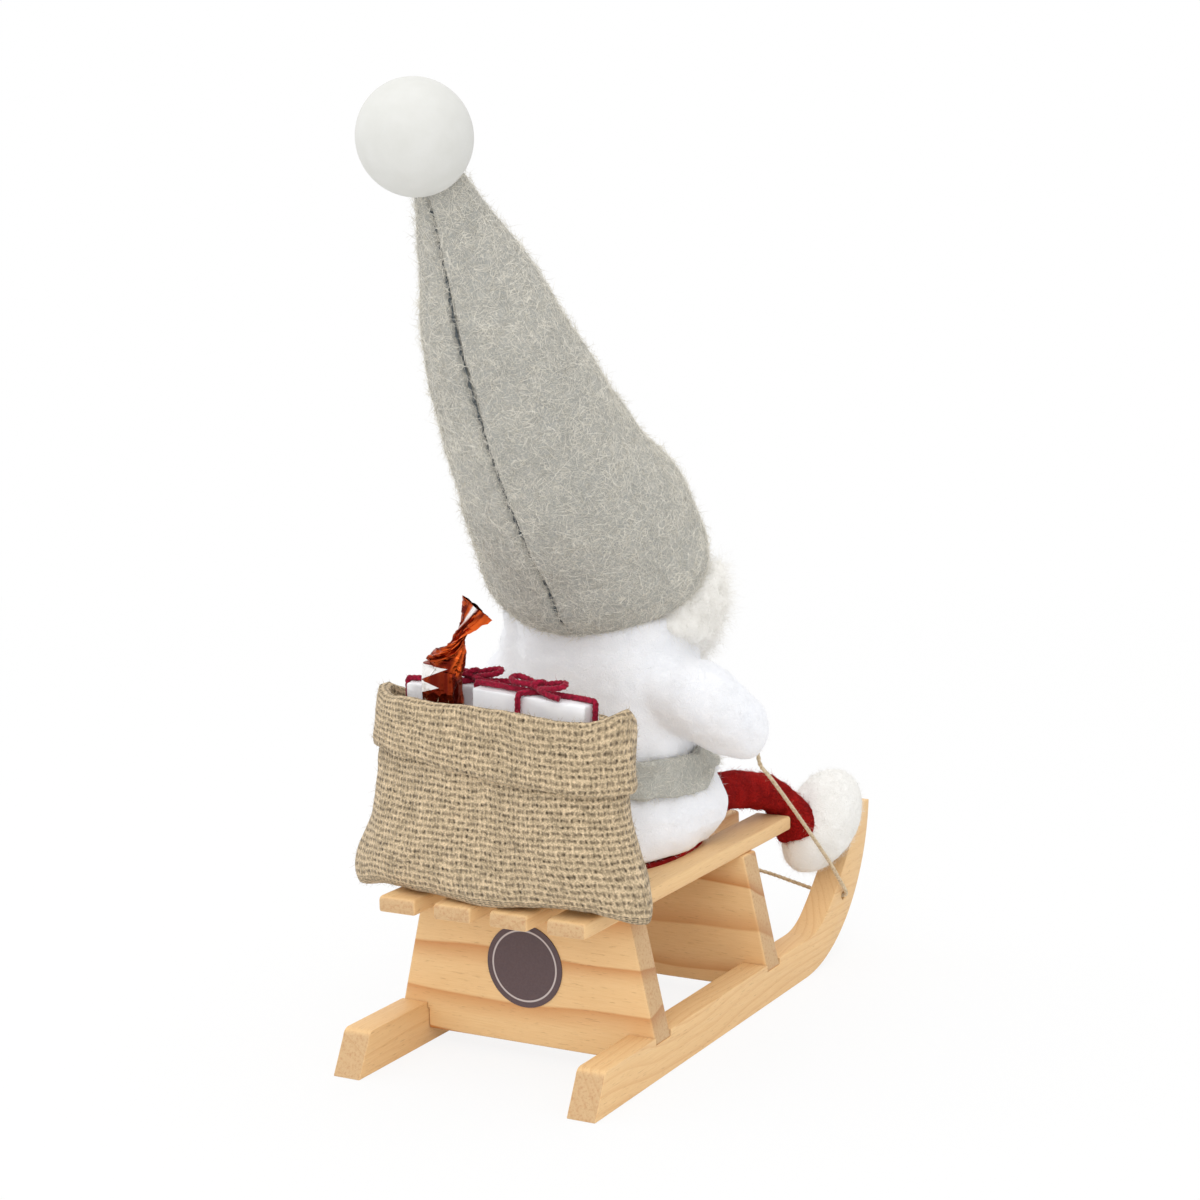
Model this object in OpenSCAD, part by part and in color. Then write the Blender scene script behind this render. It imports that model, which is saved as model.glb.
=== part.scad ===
// Small wooden sled with a seated felt gnome and a cloth sack of presents.
// Millimetres. +Z is up, the figure faces -Y and its right hand is on -X.

/* [Sled] */
// Distance between the centre lines of the two runners
gauge = 46.2; // [40:0.1:54]
// Width of a runner
runner_w = 5.4; // [4:0.1:7]
// Height of a runner behind its nose
runner_h = 7.6; // [6.5:0.1:9]
// Length of the flat sole, from the tail to the start of the nose
sole_len = 84.8; // [80:0.1:95]
// How far the tail slopes forward from the sole to the top
tail_rake = 3.2; // [1:0.1:5]
// Rounding of the tail's top edge
tail_round = 1.6; // [0.8:0.1:2]
// Radius of the sole's upward curve
nose_r = 31.5; // [30:0.1:33]
// Height of the nose tip above the ground
tip_h = 29; // [28:0.1:30]
// Thickness of the nose at its tip
tip_t = 4.4; // [3.4:0.1:5]
// Radius of the hollow between a runner's top and its nose
throat_r = 14; // [12:0.1:15]
// Thickness of the two cross boards
bridge_t = 5.4; // [4:0.1:7]
// Gap between the ground and the lower edge of a cross board
bridge_lift = 2.7; // [1.5:0.1:4]
// Width of a cross board at its top edge
bridge_top_w = 41.6; // [40.8:0.1:44]
// Depth of the housing that a cross board takes in each runner
housing = 1.3; // [0.8:0.1:2]
// Distance from the tail to the rear cross board
bridge_tail = 21.8; // [19:0.1:23]
// Distance between the two cross boards
bridge_pitch = 45.1; // [40:0.1:48]
// Height of the deck's underside above the ground
deck_under = 28.1; // [27.6:0.1:28.6]
// Width of a deck slat
slat_w = 7.3; // [6:0.1:8.5]
// Thickness of a deck slat
slat_t = 2.8; // [2.3:0.1:3.3]
// Distance between neighbouring slats, centre to centre
slat_pitch = 11.1; // [9.5:0.1:11.3]
// Length of a slat
slat_len = 82.3; // [81:0.1:82.8]
// How far the slats reach behind the rear cross board
slat_tail = 14.5; // [14:0.1:16]
// Rounding of the slats' end edges
slat_round = 0.8; // [0.3:0.1:1]
// Diameter of the plain round paper label
label_d = 15; // [8:0.5:18]
// Thickness of the label
label_t = 0.2; // [0.1:0.05:0.4]
// Height of the label's centre above the ground
label_z = 17; // [14:0.5:19]
// Diameter of the rein hole in each nose
rein_hole_d = 1.8; // [1.6:0.1:2.4]
// Diameter of the rein cord
rein_d = 0.8; // [0.6:0.1:1.2]

/* [Figure] */
// Distance of the figure's seat behind the start of the nose
seat_y = 25; // [24.5:0.1:25.5]
// Thickness of the red felt pad under the figure
pad_t = 0.7; // [0.4:0.1:1]
// Thickness of the coat felt
coat_t = 1.3; // [0.8:0.1:1.6]
// Height of the belt band
belt_h = 7; // [5:0.1:8]
// Thickness of the belt felt
belt_t = 1.5; // [0.8:0.1:1.6]
// Height of the belt's middle above the deck
belt_z = 15; // [14.5:0.1:16]
// Diameter of the wooden head
head_d = 30; // [28:0.1:31]
// Height of the head's centre above the deck
head_z = 48.1; // [47.9:0.1:48.6]
// Diameter of the neck dowel
neck_d = 5; // [3:0.1:6]
// Length of the neck dowel
neck_len = 20; // [16:0.5:22]
// Diameter of the nose bead
nose_d = 6.4; // [4:0.1:7]
// Diameter of an eye bead
eye_d = 2; // [1.2:0.1:2.4]
// Thickness of the hat felt
hat_t = 1.4; // [0.8:0.1:1.6]
// Diameter of the ball on the hat
ball_d = 18.2; // [17:0.1:19]
// Diameter of a leg at the thigh
leg_d = 8.2; // [7:0.1:8.6]
// Length of a boot
boot_len = 24.8; // [23:0.1:25]
// Width of a boot
boot_w = 16; // [15:0.1:16.2]

/* [Sack] */
// Width of the sack near its foot
sack_w = 60.4; // [58:0.1:61.5]
// Width of the sack at its mouth
mouth_w = 47.4; // [47.2:0.1:49]
// Depth of the sack from front to back
sack_depth = 19; // [18.8:0.1:19.6]
// Height of the sack above the deck
sack_h = 35; // [33:0.1:36]
// Thickness of the sack cloth
cloth_t = 1; // [0.6:0.1:1]
// Depth of the folded cuff at the mouth
cuff_h = 12.5; // [10:0.5:14]
// Distance of the sack's middle in front of the deck's rear end
sack_inset = 9.5; // [9.1:0.1:9.7]
// Height of the wadding inside the sack
fill_h = 15.4; // [13:0.1:16.5]
// Length of the left parcel
left_len = 19; // [16:0.1:19]
// Length of the right parcel
right_len = 22.8; // [20:0.1:23]
// Thickness of a parcel
parcel_t = 5; // [4.2:0.1:5.2]
// Height of a parcel
parcel_h = 18.6; // [17:0.1:19]
// Thickness of the yarn round a parcel
yarn_d = 1.1; // [0.8:0.1:1.1]
// Radius of a loop of the bow on a parcel
bow_r = 2.9; // [2:0.1:3]
// Width of the wrapped sweet
sweet_w = 7.4; // [6:0.1:7.6]
// Thickness of the wrapped sweet
sweet_t = 4.2; // [3.4:0.1:4.2]
// Height of the sweet's straight body
sweet_h = 25; // [22:0.1:25.5]
// Thickness of the sweet's wrapper
foil_t = 0.5; // [0.3:0.1:0.6]

/* [Hidden] */
$fn = 48;
// Gap between glued wooden faces that slide into each other
fit = 0.05;
// Gap between soft pieces that lie on each other
felt_gap = 0.25;
// Gap between pieces that lift out and what holds them
loose = 0.4;
// Sides of a soft form's cross section
sides = 32;
// How square a soft oval is across and along, where 2 is an ellipse
coat_square = [2.5, 2.5];
sack_square = [4, 1.6];

// Heights
deck_top = deck_under + slat_t;
hat_base_z = deck_top + head_z + 1.2;

// The front of the noses and the back of the ball set the middle of the whole
tip_y = -sqrt(nose_r * nose_r - pow(nose_r - tip_h, 2));
head_y = seat_y + 6.5;
ball_at = [head_y + 58.8, hat_base_z + 76.8];
mid_y = (ball_at[0] + ball_d / 2 + tip_y) / 2;

// Sled places
runner_x = gauge / 2;
outer_x = runner_x + runner_w / 2;
inner_x = runner_x - runner_w / 2;
rear_bridge_y = sole_len - bridge_tail;
front_bridge_y = rear_bridge_y - bridge_pitch;
deck_rear_y = rear_bridge_y + slat_tail;
deck_front_y = deck_rear_y - slat_len;
sack_y = deck_rear_y - sack_inset;
rein_hole_at = [-18.2, 12];
throat_turn = 36;

// The collar closes on the head at this height above the deck
collar_h = 42;
collar_r = sqrt(pow(head_d / 2, 2) - pow(head_z - collar_h, 2)) + felt_gap + coat_t;

// Sections of the coat from hem to collar: x, y, z, half width, half depth, lean
coat_rows = [
  [0, seat_y + 2.4, deck_top + 0.4, 15.6, 23.4, 0],
  [0, seat_y - 0.1, deck_top + 7, 17.9, 23.0, 0],
  [0, seat_y + 0.6, deck_top + 12, 16.0, 19.2, 0],
  [0, seat_y + 1.4, deck_top + 15, 14.0, 16.4, 0],
  [0, seat_y + 2.8, deck_top + 22, 14.8, 16.2, 0],
  [0, seat_y + 5.4, deck_top + 32, 15.8, 16.2, 0],
  [0, seat_y + 6.4, deck_top + 38, 15.6, 15.8, 0],
  [0, head_y, deck_top + collar_h, collar_r, collar_r, 0]
];
coat_low = deck_top + pad_t + fit;
coat_top = deck_top + collar_h;
belt_low = deck_top + belt_z - belt_h / 2;
// The coat is open below the belt at the front, to let the legs out
hem_top = belt_low + 0.6;
hem_open_angle = 68;
hem_shut_angle = 78;

// Sections of the hat from rim to tip: x, y, z, half width, half depth, lean
hat_lean = 22;
hat_rows = [
  [0, head_y, hat_base_z, 18.2, 18.2, hat_lean],
  [0, head_y + 3.2, hat_base_z + 4.6, 20.0, 20.0, 23],
  [0, head_y + 9.4, hat_base_z + 13.6, 19.2, 19.2, 34],
  [0, head_y + 19.8, hat_base_z + 23.0, 16.5, 16.5, 37],
  [0, head_y + 27.9, hat_base_z + 33.3, 14.7, 14.7, 38],
  [0, head_y + 35.2, hat_base_z + 43.0, 12.4, 12.4, 38],
  [0, head_y + 41.4, hat_base_z + 53.0, 10.3, 10.3, 38],
  [0, head_y + 47.2, hat_base_z + 62.0, 6.5, 6.5, 38],
  [0, head_y + 52.8, hat_base_z + 70.2, 4.0, 4.0, 41]
];

// Middle line of a sleeve on the right: x, y, z, half width, half height
sleeve_rows = [
  [-15.6, seat_y + 14.2, deck_top + 36.0, 1.2, 1.6],
  [-16.3, seat_y + 12.0, deck_top + 34.6, 4.7, 6.2],
  [-17.3, seat_y + 8.2, deck_top + 31.6, 6.1, 7.6],
  [-19.0, seat_y + 3.8, deck_top + 27.5, 5.8, 6.4],
  [-21.0, seat_y - 0.4, deck_top + 24.4, 5.5, 5.7],
  [-22.5, seat_y - 3.8, deck_top + 22.6, 4.7, 5.2],
  [-23.4, seat_y - 5.9, deck_top + 22.0, 3.2, 3.9],
  [-23.8, seat_y - 6.9, deck_top + 21.8, 0.6, 0.8]
];

// Boots stand on the noses with the toes up and a little outwards
boot_at = [-21.6, -15.0, 27.6];
boot_dir = [-0.21, -0.79, 0.576];

// Middle line of a leg on the right, from the hip to the ankle, and its flare
leg_rows = [
  [-10.6, seat_y - 9.2, deck_top + 6.6, 0],
  [-11.6, seat_y - 16, deck_top + 6.9, 0],
  [-13.6, seat_y - 23, deck_top + 6.7, 0],
  [-15.9, deck_front_y + 0.2, deck_top + 5.2, 0],
  [-17.6, deck_front_y - 3.8, deck_top + 2.8, 0.4],
  [-18.8, deck_front_y - 5.9, deck_top - 1.0, 0.9],
  [-19.8, deck_front_y - 6.9, deck_top - 4.2, 0.9]
];

// The beard by its angle from the front: upper and lower edge from the head's middle, thickness
beard_top = [[0, -5.8], [14, -4], [30, 0], [50, 4.5], [65, 3], [90, 0], [112, -3]];
beard_low = [[0, -22], [30, -18.5], [50, -11.5], [65, -8.5], [90, -4.6], [112, -5]];
beard_thick = [[0, 8.5], [30, 8.4], [50, 8.4], [65, 6.8], [90, 4.2], [112, 1.6]];
// The beard's outside hangs this much higher than its bed
beard_lift = [[0, 0], [30, 2], [50, 3.4], [65, 2], [90, 0]];

// Route of the rein on the right, from the hole round the mitten to the middle
rein_right = [
  [-22.6, -18.2, 12], [-24.6, -18.2, 12], [-26.0, -18.2, 12.1], [-26.7, -17.2, 13.2],
  [-26.8, -13, 17.2], [-26.9, -7.8, 22], [-26.2, 3, 32], [-25.1, 14, 42.2], [-24.5, 18, 45.8],
  [-23.7, 17.6, 48.0], [-22.0, 15.6, 50.2], [-18.4, 13.6, 51.2], [-13.4, 12.4, 51.4], [-8, 9.7, 51.2]
];
rein_middle = [[0, 8.5, 51]];
// The cross span runs from nose to nose in front of the deck
rein_span = [[15.5, -18.1, 13.4], [8, -18.0, 15], [0, -18.0, 15.6], [-8, -18.0, 15], [-15.5, -18.1, 13.4],
  [-21.4, -18.2, 12]];

// Sack places, from the middle of its foot
sack_turn = -4;
sack_floor = deck_top + felt_gap;
sack_rim = deck_top + sack_h;
sack_rows = [
  [1.0, 0, sack_floor, sack_w / 2 - 2.6, sack_depth / 2 - 3, 0],
  [1.0, 0, sack_floor + 1.6, sack_w / 2 - 0.3, sack_depth / 2 - 1.2, 0],
  [1.0, 0, sack_floor + 4, sack_w / 2, sack_depth / 2 - 0.3, 0],
  [0.8, 0, sack_floor + 10, sack_w / 2 - 1.4, sack_depth / 2, 0],
  [0.2, 0, sack_rim - 9, mouth_w / 2 + 0.6, sack_depth / 2, 0],
  [-0.2, 0, sack_rim, mouth_w / 2, sack_depth / 2, 0]
];
// The cuff is folded deeper on the right
cuff_tilt = 0.076;
fill_top = sack_floor + fill_h + loose;
parcel_floor = fill_top + yarn_d + fit;
left_parcel_at = [10.9, -3.1];
left_parcel_turn = 15;
right_parcel_at = [-7.2, 2.4];
right_parcel_tip = 3;
sweet_at = [9.7, 4.1];

// Curves and lofts

function arc(centre, r, from, to, steps) =
  [for (i = [0:steps]) let (a = from + (to - from) * i / steps) centre + r * [cos(a), sin(a)]];

function smooth4(a, b, c, d, t) =
  0.5 * (2 * b + (c - a) * t + (2 * a - 5 * b + 4 * c - d) * t * t + (3 * b - a - 3 * c + d) * t * t * t);

function along(rows, u) =
  let (last = len(rows) - 1, k = min(floor(u), last - 1))
  smooth4(rows[max(k - 1, 0)], rows[k], rows[k + 1], rows[min(k + 2, last)], u - k);

function resample(rows, steps) = [for (i = [0:steps]) along(rows, i * (len(rows) - 1) / steps)];

function unit(v) = v / norm(v);

function flip_x(points) = [for (p = points) [-p[0], p[1], p[2]]];

function backwards(list) = [for (i = [len(list) - 1:-1:0]) list[i]];

function square_pow(v, square) = sign(v) * pow(abs(v), 2 / square);

function oval(row, square = [2, 2], n = sides) = [for (i = [0:n - 1])
  let (c = square_pow(cos(360 * i / n), square[0]), s = square_pow(sin(360 * i / n), square[1]))
  [row[0] + row[3] * c, row[1] + row[4] * s * cos(row[5]), row[2] - row[4] * s * sin(row[5])]];

function grown(row, by) = [row[0], row[1], row[2], row[3] + by, row[4] + by, row[5]];

function direction(path, i) = unit(path[min(i + 1, len(path) - 1)] - path[max(i - 1, 0)]);

function tube_rings(path, half_w, half_h, ref, n) = [for (i = [0:len(path) - 1])
  let (t = direction(path, i), u = unit(cross(ref, t)), v = cross(t, u))
  [for (j = [0:n - 1]) path[i] + half_w[i] * cos(360 * j / n) * u + half_h[i] * sin(360 * j / n) * v]];

function band_faces(a, b, n) = [for (j = [0:n - 1]) each [
  [a * n + j, b * n + j, b * n + (j + 1) % n],
  [a * n + j, b * n + (j + 1) % n, a * n + (j + 1) % n]]];

// Skin over a row of rings, closed by a cap at each end
module skin(rings) {
  n = len(rings[0]);
  last = len(rings) - 1;
  caps = [[for (j = [0:n - 1]) j], [for (j = [n - 1:-1:0]) last * n + j]];
  polyhedron([for (r = rings) each r], concat(caps, [for (i = [0:last - 1]) each band_faces(i, i + 1, n)]));
}

// Skin over a closed round of rings, such as the outside and inside of a sleeve open at both ends
module shell(outside, inside) {
  rings = concat(outside, backwards(inside));
  n = len(rings[0]);
  m = len(rings);
  polyhedron([for (r = rings) each r], [for (i = [0:m - 1]) each band_faces(i, (i + 1) % m, n)]);
}

module in_frame() {
  translate([0, -mid_y, 0])
    children();
}

// Turns an outline drawn in y and z into a board of the given width about x
module side_board(x, width) {
  translate([x - width / 2, 0, 0])
    rotate([90, 0, 90])
      linear_extrude(width)
        children();
}

// Sled

throat_at = [-1.5, runner_h + throat_r];
throat_end = throat_at + throat_r * [-sin(throat_turn), -cos(throat_turn)];
tip_back = [tip_y + tip_t, tip_h];
// The upper edge of the nose is one arc that leaves the hollow smoothly and ends at the tip
edge_chord = tip_back - throat_end;
edge_bend = atan2(edge_chord[1], -edge_chord[0]) - throat_turn;
edge_r = norm(edge_chord) / (2 * sin(edge_bend));
edge_at = throat_end + edge_r * [sin(throat_turn), cos(throat_turn)];

module runner_outline() {
  polygon(concat(
    [[sole_len, 0]],
    arc([0, nose_r], nose_r, 270, 180 + asin((nose_r - tip_h) / nose_r), 28),
    backwards(arc(edge_at, edge_r, 270 - throat_turn, 270 - throat_turn - 2 * edge_bend, 8)),
    backwards(arc(throat_at, throat_r, 270, 270 - throat_turn, 8)),
    arc([sole_len - tail_rake - tail_round, runner_h - tail_round], tail_round, 90, 10, 6)
  ));
}

module runner(side) {
  color("burlywood")
    in_frame()
      difference() {
        side_board(side * runner_x, runner_w)
          runner_outline();
        for (y = [rear_bridge_y, front_bridge_y])
          translate([side * runner_x - runner_w, y - bridge_t - fit, runner_h - housing])
            cube([2 * runner_w, bridge_t + 2 * fit, housing + 1]);
        translate([side * runner_x, rein_hole_at[0], rein_hole_at[1]])
          rotate([0, 90, 0])
            cylinder(d = rein_hole_d, h = 2 * runner_w, center = true);
      }
}

module left_runner() runner(1);

module right_runner() runner(-1);

// A cross board stands in the runners' housings and hangs between them
module bridge(y) {
  seat_z = runner_h - housing;
  hang_x = inner_x - fit;
  color("navajowhite")
    in_frame()
      translate([0, y, 0])
        rotate([90, 0, 0])
          linear_extrude(bridge_t)
            polygon([
              [-outer_x, seat_z], [-hang_x, seat_z], [-hang_x, bridge_lift], [hang_x, bridge_lift],
              [hang_x, seat_z], [outer_x, seat_z],
              [bridge_top_w / 2, deck_under], [-bridge_top_w / 2, deck_under]
            ]);
}

module rear_bridge() bridge(rear_bridge_y);

module front_bridge() bridge(front_bridge_y);

module deck_slat(index) {
  x = (2.5 - index) * slat_pitch;
  ends = [deck_front_y + slat_round, deck_rear_y - slat_round];
  color("wheat")
    in_frame()
      side_board(x, slat_w)
        polygon(concat(
          [[ends[0] - slat_round, deck_under], [ends[1] + slat_round, deck_under]],
          arc([ends[1], deck_top - slat_round], slat_round, 0, 90, 4),
          arc([ends[0], deck_top - slat_round], slat_round, 90, 180, 4)
        ));
}

module deck_slat_1() deck_slat(1);

module deck_slat_2() deck_slat(2);

module deck_slat_3() deck_slat(3);

module deck_slat_4() deck_slat(4);

module round_label() {
  color("dimgray")
    in_frame()
      translate([0, rear_bridge_y, label_z])
        rotate([-90, 0, 0])
          cylinder(d = label_d, h = label_t);
}

module rein_cord() {
  route = concat(rein_right, rein_middle, backwards(flip_x(rein_right)), rein_span);
  path = resample(route, 78);
  radius = [for (p = path) rein_d / 2];
  color("tan")
    in_frame()
      skin(tube_rings(path, radius, radius, [0, 0.94, -0.34], 8));
}

// Figure

coat_steps = [for (i = [0:len(coat_rows) - 1]) [coat_rows[i][2], i]];

function coat_row(z) =
  let (row = along(coat_rows, lookup(z, coat_steps))) [row[0], row[1], z, row[3], row[4], 0];

function coat_ring(z, by, n = sides) = oval(grown(coat_row(z), by), coat_square, n);

// Height of the hem at a place round the coat, where 270 degrees is the front
function hem_z(a) =
  let (off = abs(((a - 270 + 540) % 360) - 180))
  lookup(off, [[hem_open_angle, hem_top], [hem_shut_angle, coat_low]]);

// Rings of the coat, slanted from the hem up to the belt and level above
function coat_rings(by) = let (waist = belt_low + belt_h / 4) concat(
  [for (t = [0, 0.3, 0.6, 0.86]) [for (j = [0:sides - 1])
    let (low = hem_z(360 * j / sides)) coat_ring(low + (waist - low) * t, by)[j]]],
  [for (t = [0.25, 0.5, 0.75, 1]) coat_ring(belt_low + belt_h * t, by)],
  [for (z = [22, 27, 32, 37, collar_h]) coat_ring(deck_top + z, by)]);

function head_ring(turn, by) =
  let (r = head_d / 2 + by)
  oval([0, head_y + r * cos(turn) * sin(hat_lean), deck_top + head_z + r * cos(turn) * cos(hat_lean),
    r * sin(turn), r * sin(turn), hat_lean]);

// Ring on the underside of the head, level with the ground
function seat_ring(turn, by) =
  let (r = head_d / 2 + by)
  oval([0, head_y, deck_top + head_z - r * cos(turn), r * sin(turn), r * sin(turn), 0]);

// The pad lies under the coat and ends behind the open hem
module seat_pad() {
  row = coat_rows[0];
  setback = 3.8;
  outline = oval([0, row[1] + setback, 0, row[3] - 0.4, row[4] - 0.4 - setback, 0], coat_square, 48);
  color("darkred")
    in_frame()
      translate([0, 0, deck_top])
        linear_extrude(pad_t)
          polygon([for (p = outline) [p[0], p[1]]]);
}

// The stuffed body fills the coat behind the legs and carries the head in a hollow
module torso() {
  low = coat_low + fit;
  inside = -(coat_t + 2 * felt_gap);
  bore = neck_d / 2 + 0.1;
  chin_z = deck_top + head_z - head_d / 2;
  rows = [
    [0, seat_y + 6, low, 13.2, 14, 0],
    [0, seat_y + 5, deck_top + 8, 14.2, 13, 0],
    [0, seat_y + 4.4, hem_top - 0.6, 13.2, 12.4, 0]
  ];
  color("firebrick")
    in_frame()
      skin(concat(
        [for (row = rows) oval(row, coat_square)],
        [for (z = [deck_top + belt_z, deck_top + 22, deck_top + 30, deck_top + 38]) coat_ring(z, inside)],
        [for (turn = [60, 45, 30, 14]) seat_ring(turn, felt_gap)],
        [for (z = [chin_z - 0.6, chin_z - neck_len / 2]) oval([0, head_y, z, bore, bore, 0])]
      ));
}

module coat() {
  color("white")
    in_frame()
      shell(coat_rings(0), coat_rings(-coat_t));
}

module belt() {
  levels = [for (t = [0:0.25:1]) belt_low + belt_h * t];
  color("darkgray")
    in_frame()
      shell([for (z = levels) coat_ring(z, felt_gap + belt_t)], [for (z = levels) coat_ring(z, felt_gap)]);
}

// Distance of the coat's side from the middle at a place and height
function coat_side(y, z) =
  let (row = coat_row(z), along_y = min(abs(y - row[1]) / row[4], 1))
  row[3] * pow(1 - pow(along_y, coat_square[1]), 1 / coat_square[0]);

// A sleeve is a stuffed tube with a round end, flat where it lies on the coat
module sleeve(side) {
  rows = resample(sleeve_rows, 14);
  path = [for (r = rows) [r[0], r[1], r[2]]];
  rings = tube_rings(path, [for (r = rows) r[3]], [for (r = rows) r[4]], [0, 0, 1], 24);
  color("snow")
    in_frame()
      mirror([side > 0 ? 1 : 0, 0, 0])
        skin([for (ring = rings) [for (p = ring)
          [min(p[0], -coat_side(p[1], p[2]) - 2 * felt_gap), p[1], p[2]]]]);
}

module left_sleeve() sleeve(1);

module right_sleeve() sleeve(-1);

module leg_form(by) {
  rows = resample(leg_rows, 11);
  path = [for (r = rows) [r[0], r[1], r[2]]];
  radius = [for (r = rows) leg_d / 2 + r[3] + by];
  skin(tube_rings(path, radius, radius, [1, 0, 0], 16));
}

module leg(side) {
  color("maroon")
    in_frame()
      mirror([side > 0 ? 1 : 0, 0, 0])
        leg_form(0);
}

module left_leg() leg(1);

module right_leg() leg(-1);

// An egg with its fuller end at the toe and a socket for the ankle
module boot(side) {
  turns = [for (i = [0:10]) 8 + 164 * i / 10];
  dir = unit(boot_dir);
  path = [for (a = turns) boot_at - boot_len / 2 * cos(a) * dir];
  radius = [for (a = turns) boot_w / 2 * sin(a) * (1 - 0.08 * cos(a))];
  color("whitesmoke")
    in_frame()
      mirror([side > 0 ? 1 : 0, 0, 0])
        difference() {
          skin(tube_rings(path, radius, radius, [1, 0, 0], 20));
          leg_form(0.1);
        }
}

module left_boot() boot(1);

module right_boot() boot(-1);

module at_head() {
  translate([0, head_y, deck_top + head_z])
    children();
}

module neck_dowel() {
  color("peru")
    in_frame()
      at_head()
        translate([0, 0, -head_d / 2 - neck_len / 2 + 0.2])
          cylinder(d = neck_d, h = neck_len - 0.4);
}

module head() {
  color("bisque")
    in_frame()
      at_head()
        difference() {
          sphere(d = head_d);
          translate([0, 0, -head_d / 2 - neck_len / 2])
            cylinder(d = neck_d + 2 * fit, h = neck_len);
        }
}

// A bead on the face is hollowed underneath to sit on the round of the head
module face_bead(d, across, up) {
  head_r = head_d / 2;
  seat_r = head_r + fit;
  edge_z = (seat_r * seat_r - head_r * head_r - d * d / 4) / (2 * head_r);
  rotate([0, 0, across])
    rotate([90 - up, 0, 0])
      translate([0, 0, head_r])
        rotate_extrude()
          polygon(concat(
            arc([0, 0], d / 2, asin(2 * edge_z / d), 90, 9),
            arc([0, -head_r], seat_r, 90, asin((edge_z + head_r) / seat_r) + 0.5, 2)
          ));
}

module nose_bead() {
  color("burlywood")
    in_frame()
      at_head()
        face_bead(nose_d, 0, -2);
}

module eye_beads() {
  color("black")
    in_frame()
      at_head()
        for (across = [-22, 22])
          face_bead(eye_d, across, 7);
}

// Distance from the head's upright middle line to the coat at an angle from the front
function coat_reach(a, z) =
  let (row = coat_row(z), p = coat_square[0])
  pow(pow(abs(sin(a)) / row[3], p) + pow(abs(cos(a)) / row[4], p), -1 / p) + (head_y - row[1]) * cos(a);

// Distance from the head's middle line to the face or the coat under a place of the beard
function beard_bed(a, h) =
  let (r = head_d / 2, z = deck_top + head_z + h)
  felt_gap + 0.2
    + max(sqrt(max(r * r - h * h, 0)), z < coat_top + 1.6 ? coat_reach(a, min(z, coat_top)) + 0.5 : 0);

// A full beard from cheek to cheek, that lies on the head and the coat
module beard() {
  n = 20;
  rings = [for (a = [-112:14:112])
    let (off = abs(a), high = lookup(off, beard_top), low = lookup(off, beard_low),
      thick = lookup(off, beard_thick))
    [for (j = [0:n - 1])
      let (h = (high + low) / 2 + (high - low) / 2 * sin(360 * j / n), outside = 0.5 + 0.5 * cos(360 * j / n),
        out = beard_bed(a, h) + thick * outside)
      [out * sin(a), -out * cos(a), h + lookup(off, beard_lift) * outside]]];
  color("ivory")
    in_frame()
      at_head()
        skin(backwards(rings));
}

hat_outside = resample(hat_rows, 16);

module hat() {
  color("silver")
    in_frame()
      shell([for (r = hat_outside) oval(r)], [for (r = hat_outside) oval(grown(r, -hat_t))]);
}

module hat_wadding() {
  color("linen")
    in_frame()
      skin(concat(
        [for (turn = [10, 30, 50, 68]) head_ring(turn, felt_gap)],
        [for (i = [3:15]) oval(grown(hat_outside[i], -hat_t - felt_gap))]
      ));
}

module hat_ball() {
  color("white")
    in_frame()
      translate([0, ball_at[0], ball_at[1]])
        sphere(d = ball_d);
}

// Sack

module sack_place() {
  in_frame()
    translate([0, sack_y, 0])
      rotate([0, 0, sack_turn])
        children();
}

function sack_ring(row, by) = oval(grown(row, by), sack_square, 36);

function tilted(ring, slope) = [for (p = ring) [p[0], p[1], p[2] + slope * p[0]]];

module sack() {
  cuff_low = sack_rim - cuff_h;
  plain = [for (r = resample(sack_rows, 15)) if (r[2] < cuff_low - 2.6) r];
  from = plain[len(plain) - 1];
  to = sack_rows[len(sack_rows) - 1];
  cuff = [for (z = [cuff_low, cuff_low + 0.7, sack_rim - 1.2, sack_rim])
    from + (to - from) * (z - from[2]) / (to[2] - from[2])];
  lift = [0.3, cloth_t, cloth_t, 0.2];
  slope = [cuff_tilt, cuff_tilt, 0, 0];
  color("tan")
    sack_place()
      skin(concat(
        [for (r = plain) sack_ring(r, 0)],
        [for (i = [0:3]) tilted(sack_ring(cuff[i], lift[i]), slope[i])],
        [for (i = [3, 2, 0]) sack_ring(cuff[i], -cloth_t)],
        [for (r = backwards(plain)) if (r[2] > sack_floor + cloth_t) sack_ring(r, -cloth_t)]
      ));
}

module sack_wadding() {
  top = sack_floor + fill_h;
  inside = -cloth_t - felt_gap;
  rows = [for (r = resample(sack_rows, 15)) if (r[2] > sack_floor + cloth_t + 1 && r[2] < top - 0.6) r];
  lid = grown(rows[len(rows) - 1], inside - 1.2);
  color("linen")
    sack_place()
      skin(concat(
        [for (r = rows) sack_ring(r, inside)],
        [sack_ring([lid[0], lid[1], top, lid[3], lid[4], 0], 0)]
      ));
}

module left_place() {
  sack_place()
    translate([left_parcel_at[0], left_parcel_at[1], parcel_floor])
      rotate([0, 0, left_parcel_turn])
        children();
}

module right_place() {
  sack_place()
    translate([right_parcel_at[0], right_parcel_at[1], parcel_floor + right_len / 2 * sin(right_parcel_tip)])
      rotate([0, -right_parcel_tip, 0])
        children();
}

module parcel(length) {
  translate([-length / 2, -parcel_t / 2, 0])
    cube([length, parcel_t, parcel_h]);
}

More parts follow.
